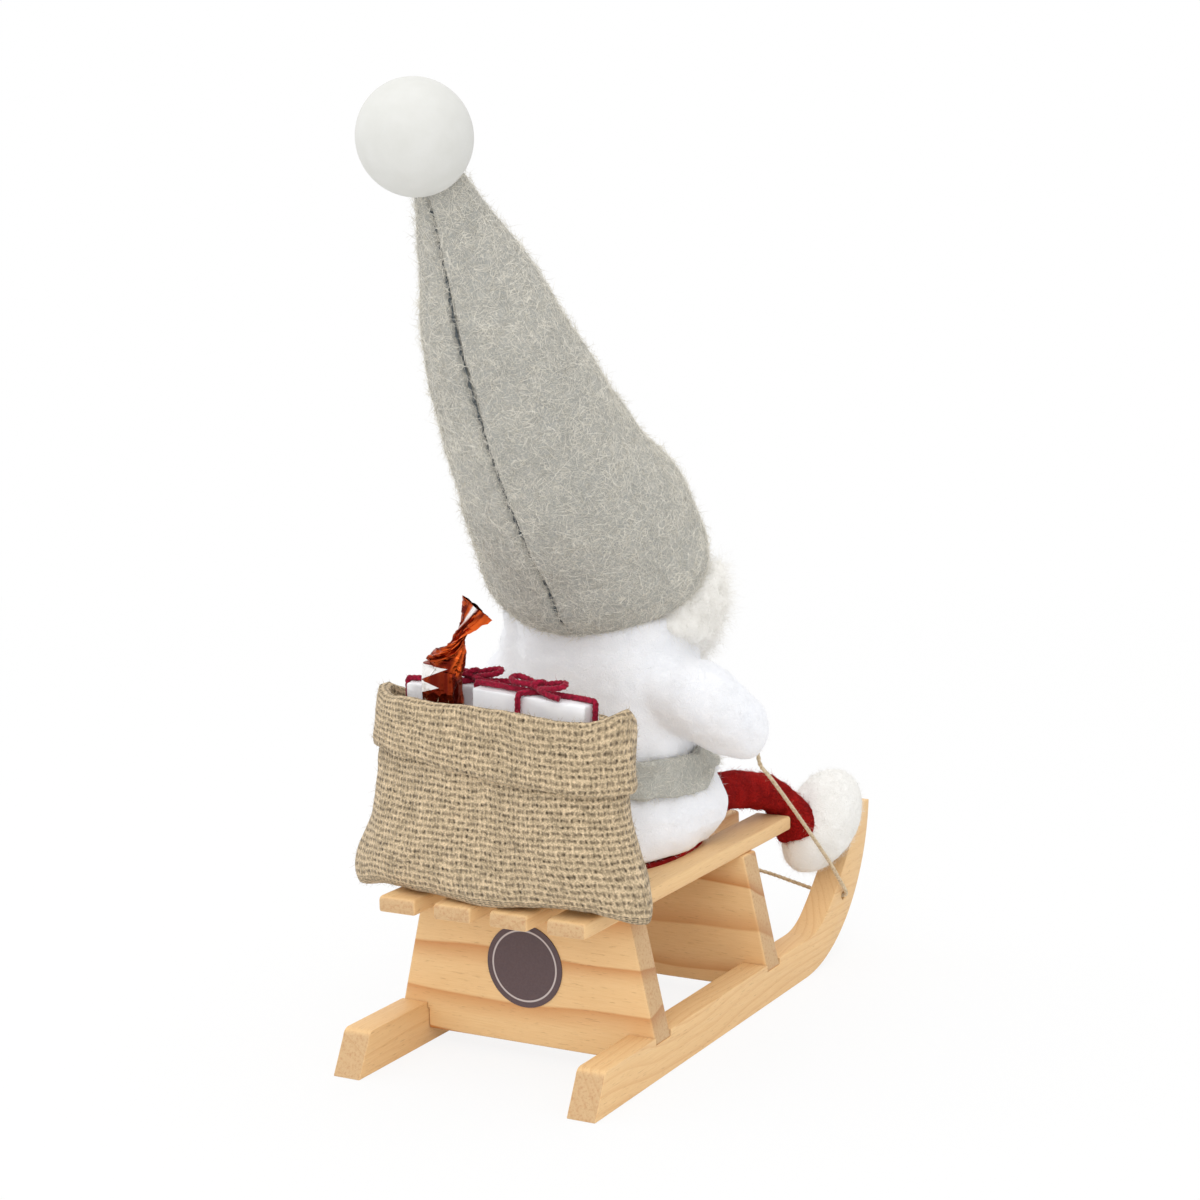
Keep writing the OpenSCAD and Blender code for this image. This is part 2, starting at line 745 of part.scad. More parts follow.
// Yarn lies once round the length and once round the middle, with a bow on top
module parcel_yarn(length) {
  box = [length, parcel_t, parcel_h] + 2 * [fit, fit, fit];
  module hoop() {
    difference() {
      cube(box + 2 * [yarn_d, yarn_d, yarn_d], center = true);
      cube(box, center = true);
    }
  }
  translate([0, 0, parcel_h / 2]) {
    intersection() {
      hoop();
      cube([2 * length, yarn_d, 2 * parcel_h], center = true);
    }
    intersection() {
      hoop();
      cube([yarn_d, 4 * parcel_t, 2 * parcel_h], center = true);
    }
  }
  translate([0, 0, parcel_h + yarn_d]) {
    sphere(d = 2 * yarn_d);
    for (side = [-1, 1])
      translate([side * (bow_r + 1.2 * yarn_d), 0, yarn_d / 2])
        rotate_extrude()
          translate([bow_r, 0])
            circle(d = yarn_d);
  }
}

module left_parcel() {
  color("ghostwhite")
    left_place()
      parcel(left_len);
}

module right_parcel() {
  color("ghostwhite")
    right_place()
      parcel(right_len);
}

module left_yarn() {
  color("crimson")
    left_place()
      parcel_yarn(left_len);
}

module right_yarn() {
  color("crimson")
    right_place()
      parcel_yarn(right_len);
}

module sweet_block(by) {
  translate([sweet_at[0], sweet_at[1], fill_top + sweet_h / 2])
    cube([sweet_w, sweet_t, sweet_h] - 2 * [by, by, by], center = true);
}

module sweet_bar() {
  color("saddlebrown")
    sack_place()
      sweet_block(foil_t + fit);
}

// The wrapper is folded flat under the bar and twisted to a fan above it
module sweet_wrapper() {
  // Offset across and back, height above the body, half width and half thickness
  twist = [
    [0, 0, -0.1, sweet_w / 2 - 0.2, sweet_t / 2 - 0.2],
    [-1.6, 0.4, 1.6, 2.7, 1.8],
    [-3.2, 1.0, 3.2, 1.5, 1.3],
    [-5.2, 1.9, 5.4, 1.4, 1.2],
    [-7.3, 2.9, 7.8, 2.1, 1.2],
    [-9.8, 3.8, 11, 2.6, 1.3]
  ];
  color("chocolate")
    sack_place() {
      difference() {
        sweet_block(0);
        sweet_block(foil_t);
      }
      translate([sweet_at[0], sweet_at[1], fill_top + sweet_h])
        skin([for (k = twist) oval([k[0], k[1], k[2], k[3], k[4], 0], [2, 2], 16)]);
    }
}

left_runner();
right_runner();
rear_bridge();
front_bridge();
deck_slat_1();
deck_slat_2();
deck_slat_3();
deck_slat_4();
round_label();
rein_cord();
seat_pad();
torso();
coat();
belt();
left_sleeve();
right_sleeve();
left_leg();
right_leg();
left_boot();
right_boot();
neck_dowel();
head();
nose_bead();
eye_beads();
beard();
hat();
hat_wadding();
hat_ball();
sack();
sack_wadding();
left_parcel();
right_parcel();
left_yarn();
right_yarn();
sweet_bar();
sweet_wrapper();
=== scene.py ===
"""Looks of a felt gnome on a wooden sled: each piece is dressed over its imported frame.

Sizes and places are in millimetres unless a comment says otherwise, and the scene is in metres.
"""

import logging
import math
from contextlib import contextmanager
from dataclasses import dataclass
from enum import Enum
from typing import Callable, Iterator, Sequence

import bpy
import numpy as np
from mathutils import Matrix, Vector


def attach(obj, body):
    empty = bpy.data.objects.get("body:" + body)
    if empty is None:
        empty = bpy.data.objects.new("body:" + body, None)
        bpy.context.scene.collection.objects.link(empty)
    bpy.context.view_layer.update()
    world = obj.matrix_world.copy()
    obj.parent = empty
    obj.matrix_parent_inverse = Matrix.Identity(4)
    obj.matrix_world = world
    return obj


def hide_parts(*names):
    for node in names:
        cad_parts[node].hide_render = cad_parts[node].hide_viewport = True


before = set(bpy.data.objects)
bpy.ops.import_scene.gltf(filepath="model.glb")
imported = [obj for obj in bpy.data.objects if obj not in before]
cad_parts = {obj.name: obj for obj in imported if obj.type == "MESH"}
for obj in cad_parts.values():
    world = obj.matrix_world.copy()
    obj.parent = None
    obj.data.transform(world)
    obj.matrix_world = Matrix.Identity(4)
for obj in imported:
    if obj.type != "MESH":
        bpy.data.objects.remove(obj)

LOG = logging.getLogger("gnome")
MM = 0.001
# Corners nearer to each other than this, in metres, are one
MERGE = 2e-6
# Wooden faces flatter than the first are one face, and edges sharper than the second are eased
FLAT, SHARP = math.radians(0.5), math.radians(32)
# How deep the grooves between the plies of a cord are, as a share of its radius
PLY_GROOVE = 0.28
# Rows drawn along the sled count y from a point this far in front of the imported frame's origin
MID_Y = 34.0

Points = np.ndarray
Colour = tuple[float, float, float, float]
Piece = bpy.types.Object
Socket = bpy.types.NodeSocket
Value = Socket | float | Sequence[float]
Route = Sequence[tuple[float, float, float]]

WHITE: Colour = (1.0, 1.0, 1.0, 1.0)


class Body(str, Enum):
    """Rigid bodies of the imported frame."""

    SLED = "sled"
    LEFT_LEG = "left_leg"
    RIGHT_LEG = "right_leg"
    LEFT_PRESENT = "left_present"
    RIGHT_PRESENT = "right_present"
    SWEET = "sweet"


class Slot(str, Enum):
    """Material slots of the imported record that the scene's pieces use."""

    PINE = "pine"
    CORD = "cord"
    RED_FELT = "red_felt"
    WHITE_FELT = "white_felt"
    GREY_FELT = "grey_felt"
    WOOL = "wool"
    WHITE_BALL = "white_ball"
    WADDING = "wadding"
    BURLAP = "burlap"
    PAPER = "parcel_paper"
    YARN = "yarn"
    CHOCOLATE = "chocolate"
    FOIL = "foil"


class Side(Enum):
    """The figure's two sides; the left one is on +X."""

    LEFT = 1
    RIGHT = -1

    @property
    def word(self) -> str:
        """Returns: the side's name as it stands in node names."""
        return self.name.lower()


class Grain(Enum):
    """The way a board's grain runs."""

    ACROSS = "x"
    LENGTHWISE = "y"


# Numbers


def srgb(red: int, green: int, blue: int) -> Colour:
    """Turns an everyday colour into a linear one.

    Args:
        red: The red part, from 0 to 255.
        green: The green part.
        blue: The blue part.

    Returns:
        The linear colour, with an alpha of one.
    """

    def linear(value: float) -> float:
        """Undoes the screen's curve for one part."""
        value /= 255
        return value / 12.92 if value <= 0.04045 else ((value + 0.055) / 1.055) ** 2.4

    return (linear(red), linear(green), linear(blue), 1.0)


def resample(rows: Sequence[Sequence[float]], steps: int) -> Points:
    """Runs a smooth curve through rows of numbers and reads it at even steps.

    Args:
        rows: The rows that the curve passes through.
        steps: How many steps the curve is cut into.

    Returns:
        The rows along the curve, one more than there are steps.
    """
    table = np.array(rows, float)
    last = len(table) - 1
    place = np.linspace(0, last, steps + 1)
    k = np.minimum(place.astype(int), last - 1)
    t = (place - k)[:, None]
    a, b = table[np.maximum(k - 1, 0)], table[k]
    c, d = table[k + 1], table[np.minimum(k + 2, last)]
    return 0.5 * (
        2 * b + (c - a) * t + (2 * a - 5 * b + 4 * c - d) * t**2 + (3 * b - a - 3 * c + d) * t**3
    )


def ripple(points: Points, size: float, seed: int, waves: int = 28) -> Points:
    """Gives each point a smooth random height of about unit spread.

    Args:
        points: The places in millimetres.
        size: How long one lump is.
        seed: The seed of the random draws.
        waves: How many waves lie over each other.

    Returns:
        One height for each point.
    """
    rng = np.random.default_rng(seed)
    ways = rng.normal(size=(waves, 3))
    ways /= np.linalg.norm(ways, axis=1)[:, None]
    ways *= 2 * math.pi / size * rng.uniform(0.6, 1.4, (waves, 1))
    phase = rng.uniform(0, 2 * math.pi, waves)
    return np.sin(points @ ways.T + phase).sum(1) / math.sqrt(waves / 2)


def bell(distance: Points, width: float) -> Points:
    """Gives one in the middle and falls to nothing over the width."""
    return np.exp(-((distance / width) ** 2))


def ramp(value: Points, start: float, width: float) -> Points:
    """Rises from 0 to 1 over a width past the start; a negative width runs the other way."""
    return np.clip((value - start) / width, 0, 1)


def unit(vectors: Points) -> Points:
    """Scales each row to length one."""
    return vectors / np.maximum(np.linalg.norm(vectors, axis=-1, keepdims=True), 1e-12)


def gone_along(path: Points) -> Points:
    """Gives a path's length up to each of its points."""
    steps = np.linalg.norm(np.diff(path, axis=0), axis=1)
    return np.concatenate([[0], np.cumsum(steps)])


# Modelling


def pick(piece: Piece) -> None:
    """Makes a piece the only selected and the active one.

    Args:
        piece: The piece to pick.
    """
    bpy.ops.object.select_all(action="DESELECT")
    piece.select_set(True)
    bpy.context.view_layer.objects.active = piece


@contextmanager
def editing(piece: Piece) -> Iterator[None]:
    """Opens a piece in edit mode with everything selected, and closes it again.

    Args:
        piece: The piece to edit.

    Yields:
        Nothing, while the piece is open.
    """
    pick(piece)
    bpy.ops.object.mode_set(mode="EDIT")
    bpy.ops.mesh.select_all(action="SELECT")
    yield
    bpy.ops.object.mode_set(mode="OBJECT")


def work(piece: Piece, kind: str, **settings: object) -> None:
    """Adds a modifier and applies it.

    Args:
        piece: The piece to work on.
        kind: The modifier's type.
        settings: The modifier's settings by name.
    """
    pick(piece)
    modifier = piece.modifiers.new(kind.title(), kind)
    for key, value in settings.items():
        setattr(modifier, key, value)
    bpy.ops.object.modifier_apply(modifier=modifier.name)


def smooth(piece: Piece, angle: float | None = None) -> Piece:
    """Shades a piece smooth.

    Args:
        piece: The piece to shade.
        angle: The sharpest edge that is smooth, in degrees; without it all edges are.

    Returns:
        The same piece.
    """
    pick(piece)
    if angle is None:
        bpy.ops.object.shade_smooth()
    else:
        bpy.ops.object.shade_smooth_by_angle(angle=math.radians(angle))
    return piece


def read(piece: Piece, what: str = "co") -> Points:
    """Reads a piece's vertices.

    Args:
        piece: The piece to read.
        what: "co" for places in millimetres, or "normal" for normals.

    Returns:
        One row for each vertex.
    """
    flat = np.empty(len(piece.data.vertices) * 3)
    piece.data.vertices.foreach_get(what, flat)
    return flat.reshape(-1, 3) / (MM if what == "co" else 1)


def move(piece: Piece, points: Points) -> None:
    """Puts a piece's vertices at these places in millimetres."""
    piece.data.vertices.foreach_set("co", (points * MM).ravel())
    piece.data.update()


def swell(piece: Piece, amount: Points | float) -> None:
    """Moves a piece's vertices outwards by these amounts in millimetres."""
    move(piece, read(piece) + read(piece, "normal") * np.reshape(amount, (-1, 1)))


def crumple(piece: Piece, *waves: tuple[float, float, int]) -> None:
    """Swells a piece in ripples, each given by its height, size and seed."""
    place = read(piece)
    swell(piece, sum(high * ripple(place, size, seed) for high, size, seed in waves))


def even_out(piece: Piece, voxel: float, rounds: int) -> None:
    """Lays an even mesh over a piece and smooths its facets away."""
    work(piece, "REMESH", mode="VOXEL", voxel_size=voxel * MM)
    work(piece, "SMOOTH", factor=0.5, iterations=rounds)


def bring(name: str, data: bpy.types.ID) -> Piece:
    """Puts a new object into the scene.

    Args:
        name: The object's name.
        data: Its mesh, camera or light.

    Returns:
        The new object.
    """
    made = bpy.data.objects.new(name, data)
    bpy.context.scene.collection.objects.link(made)
    return made


def new_mesh(name: str, points: Points, faces: list[tuple[int, ...]]) -> Piece:
    """Makes a piece from points and faces.

    Args:
        name: The piece's name.
        points: The vertices in millimetres.
        faces: Each face's vertices in order.

    Returns:
        The new piece.
    """
    mesh = bpy.data.meshes.new(name)
    mesh.from_pydata((points * MM).tolist(), [], faces)
    mesh.update()
    return bring(name, mesh)


def ellipsoid(place: Sequence[float], size: Sequence[float]) -> Piece:
    """Stretches a ball, which is then joined into a soft piece.

    Args:
        place: Its middle in millimetres.
        size: Its three half sizes.

    Returns:
        The stretched ball.
    """
    bpy.ops.object.select_all(action="DESELECT")
    bpy.ops.mesh.primitive_uv_sphere_add(segments=32, ring_count=20, radius=MM)
    piece = bpy.context.object
    bpy.ops.transform.resize(value=size)
    bpy.ops.transform.translate(value=Vector(place) * MM)
    bpy.ops.object.transform_apply()
    return piece


def cad_copy(node: str, name: str) -> Piece:
    """Copies a CAD node, with its corners merged and its quads back.

    Args:
        node: The node's name.
        name: The copy's name.

    Returns:
        The copy.
    """
    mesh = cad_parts[node].data.copy()
    mesh.materials.clear()
    piece = bring(name, mesh)
    pick(piece)
    bpy.ops.mesh.customdata_custom_splitnormals_clear()
    with editing(piece):
        bpy.ops.mesh.remove_doubles(threshold=MERGE)
        bpy.ops.mesh.tris_convert_to_quads(face_threshold=math.pi, shape_threshold=math.pi)
        bpy.ops.mesh.normals_make_consistent(inside=False)
    return piece


def eased_copy(node: str, name: str, ease: float) -> Piece:
    """Copies a hard node with its sharp edges rounded off.

    Args:
        node: The node's name.
        name: The copy's name.
        ease: How wide the rounding is, in millimetres.

    Returns:
        The copy.
    """
    piece = cad_copy(node, name)
    with editing(piece):
        bpy.ops.mesh.dissolve_limited(angle_limit=FLAT)
    work(piece, "BEVEL", width=ease * MM, segments=3, limit_method="ANGLE", angle_limit=SHARP)
    return smooth(piece, angle=40)


def soft_copy(node: str, name: str, levels: int) -> Piece:
    """Copies a felt node and rounds it by subdivision.

    Args:
        node: The node's name.
        name: The copy's name.
        levels: How often it is subdivided.

    Returns:
        The copy.
    """
    piece = cad_copy(node, name)
    if levels:
        work(piece, "SUBSURF", levels=levels, render_levels=levels)
    return smooth(piece)


def even_copy(node: str, name: str, voxel: float, rounds: int, filled: bool = False) -> Piece:
    """Copies a stuffed node as an even mesh with its facets smoothed away.

    Args:
        node: The node's name.
        name: The copy's name.
        voxel: The mesh's width in millimetres.
        rounds: How often it is smoothed.
        filled: Whether its hollows are filled first.

    Returns:
        The copy.
    """
    piece = cad_copy(node, name)
    if filled:
        with editing(piece):
            bpy.ops.mesh.convex_hull()
    even_out(piece, voxel, rounds)
    return smooth(piece)


def grid_piece(
    name: str,
    surface: Callable[[Points, Points], Points],
    cells: tuple[int, int],
    threads: tuple[float, float] = (1.0, 1.0),
) -> Piece:
    """Lays a grid over a surface and closes it where its edges meet.

    Args:
        name: The piece's name.
        surface: Gives places in millimetres for u and v from 0 to 1.
        cells: How many cells the grid has each way.
        threads: How far its UV map runs each way.

    Returns:
        The new piece.
    """
    bpy.ops.object.select_all(action="DESELECT")
    bpy.ops.mesh.primitive_grid_add(x_subdivisions=cells[0], y_subdivisions=cells[1], size=1.0)
    piece = bpy.context.object
    piece.name = piece.data.name = name
    flat = read(piece) * MM + 0.5
    layer = piece.data.uv_layers.active.data
    uv = np.empty(len(layer) * 2)
    layer.foreach_get("uv", uv)
    layer.foreach_set("uv", (uv.reshape(-1, 2) * threads).ravel())
    move(piece, surface(np.clip(flat[:, 0], 0, 1), np.clip(flat[:, 1], 0, 1)))
    with editing(piece):
        bpy.ops.mesh.remove_doubles(threshold=MERGE)
        bpy.ops.mesh.normals_make_consistent(inside=False)
    return smooth(piece)


def tube(
    name: str,
    path: Points,
    radius: Points | float,
    sides: int,
    plies: int = 0,
    pitch: float = 3.0,
) -> Piece:
    """Draws a round tube along a path.

    Args:
        name: The piece's name.
        path: The points it follows, in millimetres.
        radius: Its radius, for all points or for each.
        sides: How many sides its section has.
        plies: How many plies are twisted in it, or none.
        pitch: How long one turn of the twist is.

    Returns:
        The new piece.
    """
    count = len(path)
    ahead = unit(np.gradient(path, axis=0))
    across = np.empty_like(path)
    guess = np.cross(ahead[0], (0.31, 0.27, 0.91))
    for index in range(count):
        guess = guess - ahead[index] * np.dot(guess, ahead[index])
        guess = guess / np.linalg.norm(guess)
        across[index] = guess
    up = np.cross(ahead, across)
    turn = np.linspace(0, 2 * math.pi, sides, endpoint=False)
    size = np.broadcast_to(np.reshape(radius, (-1, 1)), (count, sides)).copy()
    if plies:
        phase = plies / 2 * (turn[None, :] - 2 * math.pi * gone_along(path)[:, None] / pitch)
        size *= 1 - PLY_GROOVE + PLY_GROOVE * np.abs(np.cos(phase))
    points = (
        path[:, None, :]
        + across[:, None, :] * (size * np.cos(turn))[:, :, None]
        + up[:, None, :] * (size * np.sin(turn))[:, :, None]
    ).reshape(-1, 3)
    faces: list[tuple[int, ...]] = []
    for a in range(0, (count - 1) * sides, sides):
        for j in range(sides):
            k = (j + 1) % sides
            faces.append((a + j, a + k, a + sides + k, a + sides + j))
    faces.append(tuple(range(sides - 1, -1, -1)))
    faces.append(tuple((count - 1) * sides + j for j in range(sides)))
    return smooth(new_mesh(name, points, faces))


def joined(name: str, parts: Sequence[Piece]) -> Piece:
    """Joins parts into one piece.

    Args:
        name: The piece's name.
        parts: The parts, the first of which takes up the others.

    Returns:
        The joined piece.
    """
    bpy.ops.object.select_all(action="DESELECT")
    for part in parts:
        part.select_set(True)
    bpy.context.view_layer.objects.active = parts[0]
    bpy.ops.object.join()
    parts[0].name = parts[0].data.name = name
    return parts[0]


Keep = Callable[[Points, Points], Points]


@dataclass(frozen=True)
class Fluff:
    """Loose fibres on a soft surface.

    Attributes:
        count: How many are sown, before some are left out.
        length: How long they are about, in millimetres.
        lift: How steeply they leave the surface.
        width: How thick they are at the root.
        steps: How many lengths each is bent in.
        curl: How much they turn at random.
        fall: How much they turn down.
        cling: How much they turn back to the surface.
        root: How deep they start in it.
        seed: The seed of the random draws.
    """

    count: int
    length: float
    lift: float
    width: float = 0.045
    steps: int = 2
    curl: float = 0.35
    fall: float = 0.0
    cling: float = 0.0
    root: float = 0.05
    seed: int = 1

    def grow(self, name: str, host: Piece, keep: Keep | None = None) -> Piece:
        """Grows the fibres on a piece.

        Args:
            name: The name of the piece that holds the fibres.
            host: The piece they grow on.
            keep: Says for roots and normals which fibres stay; without it all do.

        Returns:
            The fibres in one piece.
        """
        rng = np.random.default_rng(self.seed)
        host.data.calc_loop_triangles()
        corner = np.empty(len(host.data.loop_triangles) * 3, int)
        host.data.loop_triangles.foreach_get("vertices", corner)
        a, b, c = read(host)[corner.reshape(-1, 3)].transpose(1, 0, 2)
        cross = np.cross(b - a, c - a)
        area = np.linalg.norm(cross, axis=1)
        chosen = rng.choice(len(area), self.count, p=area / area.sum())
        s, t = rng.random((2, self.count, 1))
        fold = s + t > 1
        s, t = np.where(fold, 1 - s, s), np.where(fold, 1 - t, t)
        root = a[chosen] + s * (b - a)[chosen] + t * (c - a)[chosen]
        normal = unit(cross[chosen])
        if keep is not None:
            stays = keep(root, normal)
            root, normal = root[stays], normal[stays]
        count = len(root)
        flat = unit(np.cross(normal, rng.normal(size=(count, 3))))
        way = unit(flat + normal * self.lift * rng.uniform(0.2, 1.6, (count, 1)))
        length = self.length * rng.uniform(0.4, 1.3, (count, 1))
        side = unit(np.cross(way, rng.normal(size=(count, 3))))
        rows, place = [], root - normal * self.root
        for step in range(self.steps + 1):
            thin = self.width * (1 - step / self.steps) ** 0.6 / 2
            rows += [place + side * thin, place - side * thin] if step < self.steps else [place]
            drift = rng.normal(size=(count, 3)) * self.curl
            way = unit(way + drift - normal * self.cling - (0, 0, self.fall))
            place = place + way * length / self.steps
        points = np.stack(rows, 1)
        per = points.shape[1]
        faces: list[tuple[int, ...]] = []
        for start in range(0, count * per, per):
            for step in range(self.steps - 1):
                k = start + 2 * step
                faces.append((k, k + 1, k + 3, k + 2))
            faces.append((start + per - 3, start + per - 2, start + per - 1))
        return smooth(new_mesh(name, points.reshape(-1, 3), faces))


@dataclass(frozen=True)
class Stuffing:
    """Presses a sewn skin out from inside, so that it wrinkles between its pinned places.

    Attributes:
        grow: How much the cloth is cut larger, as a share.
        cap: How far a point may move, in millimetres.
        pressure: The pressure inside.
        stiffness: How hard the cloth is to bend.
        scale: How much larger than life it is simulated.
        frames: How many frames it is simulated for.
    """

    grow: float
    cap: float
    pressure: float = 4.0
    stiffness: float = 0.6
    scale: float = 20.0
    frames: int = 20

    def fill(self, piece: Piece, pinned: Points) -> None:
        """Simulates a skin under pressure and moves it as far as the cap allows.

        Args:
            piece: The piece whose skin it is.
            pinned: For each vertex, one where it stays put and nothing where it is free.
        """
        rest = read(piece)
        move(piece, rest * self.scale)
        group = piece.vertex_groups.new(name="pinned")
        for index in np.flatnonzero(pinned > 0.02):
            group.add([int(index)], float(pinned[index]), "REPLACE")
        cloth = piece.modifiers.new("Cloth", "CLOTH")
        cloth.settings.quality = 5
        cloth.settings.use_pressure = True
        cloth.settings.uniform_pressure_force = self.pressure
        cloth.settings.shrink_min = -self.grow
        cloth.settings.vertex_group_mass = group.name
        cloth.settings.effector_weights.gravity = 0.0
        cloth.settings.bending_stiffness = self.stiffness
        cloth.point_cache.frame_end = self.frames
        for number in range(1, self.frames + 1):
            bpy.context.scene.frame_set(number)
        pick(piece)
        bpy.ops.object.modifier_apply(modifier=cloth.name)
        bpy.context.scene.frame_set(1)
        step = read(piece) / self.scale - rest
        reach = np.linalg.norm(step, axis=1, keepdims=True)
        step *= self.cap * np.tanh(reach / self.cap) / np.maximum(reach, 1e-9)
        move(piece, rest + step)
        piece.vertex_groups.clear()


# Shader nodes


class Graph:
    """Adds and joins shader nodes in one node tree."""

    def __init__(self, tree: bpy.types.NodeTree) -> None:
        """Starts on a node tree."""
        self.tree = tree

    @classmethod
    def blank(cls, owner: bpy.types.ID) -> "Graph":
        """Opens the nodes of a material or a world and clears them.

        Args:
            owner: The material or world.

        Returns:
            A graph on its empty node tree.
        """
        owner.use_nodes = True
        owner.node_tree.nodes.clear()
        return cls(owner.node_tree)

    def feed(self, socket: Socket, value: Value) -> None:
        """Links a socket, or sets it to a constant.

        Args:
            socket: The input socket.
            value: The output socket that it is linked to, or its constant.
        """
        if isinstance(value, bpy.types.NodeSocket):
            self.tree.links.new(value, socket)
        else:
            socket.default_value = value

    def fill(self, node: bpy.types.Node, inputs: dict[str | int, Value]) -> None:
        """Feeds inputs of a node by name or number."""
        for key, value in inputs.items():
            self.feed(node.inputs[key], value)

    def add(
        self, kind: str, inputs: dict[str | int, Value] | None = None, **settings: object
    ) -> bpy.types.Node:
        """Adds a node.

        Args:
            kind: The node's type without its first word.
            inputs: What its inputs are fed, by name or number.
            settings: The node's settings by name.

        Returns:
            The new node.
        """
        made = self.tree.nodes.new("ShaderNode" + kind)
        for key, value in settings.items():
            setattr(made, key, value)
        self.fill(made, inputs or {})
        return made

    def group(self, tree: bpy.types.NodeTree, inputs: dict[str, Value]) -> dict[str, Socket]:
        """Adds a node group and returns its outputs by name."""
        made = self.add("Group", inputs, node_tree=tree)
        return {socket.name: socket for socket in made.outputs}

    def math(self, operation: str, *values: Value) -> Socket:
        """Adds a sum of one to three values."""
        return self.add("Math", dict(enumerate(values)), operation=operation).outputs[0]

    def vector(self, operation: str, *values: Value) -> Socket:
        """Adds a sum of vectors."""
        made = self.add("VectorMath", dict(enumerate(values)), operation=operation)
        return made.outputs["Value" if operation in ("LENGTH", "DOT_PRODUCT") else "Vector"]

    def turned(self, vector: Socket, angles: Sequence[float]) -> Socket:
        """Turns a vector by three angles."""
        inputs = {"Vector": vector, "Rotation": angles}
        return self.add("VectorRotate", inputs, rotation_type="EULER_XYZ").outputs[0]

    def noise(self, vector: Socket, scale: Value, detail: float) -> Socket:
        """Adds a cloud noise of numbers round a half."""
        made = self.add("TexNoise", {"Vector": vector, "Scale": scale, "Detail": detail})
        return made.outputs[0]

    def sway(self, vector: Socket, scale: Value, detail: float) -> Socket:
        """Adds a cloud noise of vectors round zero."""
        made = self.add("TexNoise", {"Vector": vector, "Scale": scale, "Detail": detail})
        return self.vector("SUBTRACT", made.outputs["Color"], (0.5, 0.5, 0.5))

    def span(
        self, value: Value, low: float, high: float, start: float = 0.0, end: float = 1.0
    ) -> Socket:
        """Maps a span of values onto another, held at its ends."""
        return self.add("MapRange", {0: value, 1: low, 2: high, 3: start, 4: end}).outputs[0]

    def mix(self, factor: Value, first: Value, second: Value, blend: str = "MIX") -> Socket:
        """Mixes two colours."""
        inputs = {0: factor, 6: first, 7: second}
        return self.add("Mix", inputs, data_type="RGBA", blend_type=blend).outputs[2]

    def bump(self, height: Socket, depth: float, strength: float) -> Socket:
        """Adds a bump whose height of one is this deep in millimetres."""
        inputs = {"Height": height, "Strength": strength, "Distance": depth * MM}
        return self.add("Bump", inputs).outputs[0]

    def place(self) -> Socket:
        """Returns: the place on the object in millimetres."""
        coordinates = self.add("TexCoord").outputs["Object"]
        return self.vector("MULTIPLY", coordinates, (1 / MM,) * 3)

    def seen(self) -> Socket:
        """Marks the rays that show a backdrop: straight, mirrored or through glass.

        Returns:
            One for such a ray, and nothing for one that only lights.
        """
        path = self.add("LightPath")
        sight = self.math("MAXIMUM", path.outputs["Is Camera Ray"], path.outputs["Is Glossy Ray"])
        return self.math("MAXIMUM", sight, path.outputs["Is Transmission Ray"])


Wiring = Callable[[Graph, dict[str, Socket]], dict[str, Socket]]


def shared(
    name: str, inputs: dict[str, str], outputs: Sequence[str], wiring: Wiring
) -> bpy.types.NodeTree:
    """Makes a node group once.

    Args:
        name: The group's name.
        inputs: The types of its inputs by name.
        outputs: The names of its outputs.
        wiring: Wires the group from its input sockets to its output sockets.

    Returns:
        The group.
    """
    if name in bpy.data.node_groups:
        return bpy.data.node_groups[name]
    tree = bpy.data.node_groups.new(name, "ShaderNodeTree")
    for key, kind in inputs.items():
        tree.interface.new_socket(name=key, in_out="INPUT", socket_type="NodeSocket" + kind)
    for key in outputs:
        tree.interface.new_socket(name=key, in_out="OUTPUT", socket_type="NodeSocketFloat")
    graph = Graph(tree)
    enter, leave = tree.nodes.new("NodeGroupInput"), tree.nodes.new("NodeGroupOutput")
    made = wiring(graph, {key: enter.outputs[key] for key in inputs})
    graph.fill(leave, {key: made[key] for key in outputs})
    return tree


def wire_felt(g: Graph, given: dict[str, Socket]) -> dict[str, Socket]:
    """Wires pressed felt: fibres that cross in three layers, and clouds.

    Args:
        g: The group's graph.
        given: The place in millimetres.

    Returns:
        The fibres and the clouds.
    """
    place = given["Place"]
    bent = g.vector("MULTIPLY_ADD", g.sway(place, 0.45, 1.0), (2.2, 2.2, 2.2), place)
    layers = []
    for angles in ((0.3, 0.2, 0.5), (1.4, 0.9, -0.6), (-0.8, 1.9, 1.3)):
        drawn = g.vector("MULTIPLY", g.turned(bent, angles), (0.35, 4.2, 4.2))
        layers.append(g.noise(drawn, 1.0, 1.0))
    most = g.math("MAXIMUM", g.math("MAXIMUM", layers[0], layers[1]), layers[2])
    return {
        "Fibre": g.span(most, 0.5, 0.76),
        "Cloud": g.span(g.noise(place, 0.2, 4.0), 0.3, 0.7),
    }


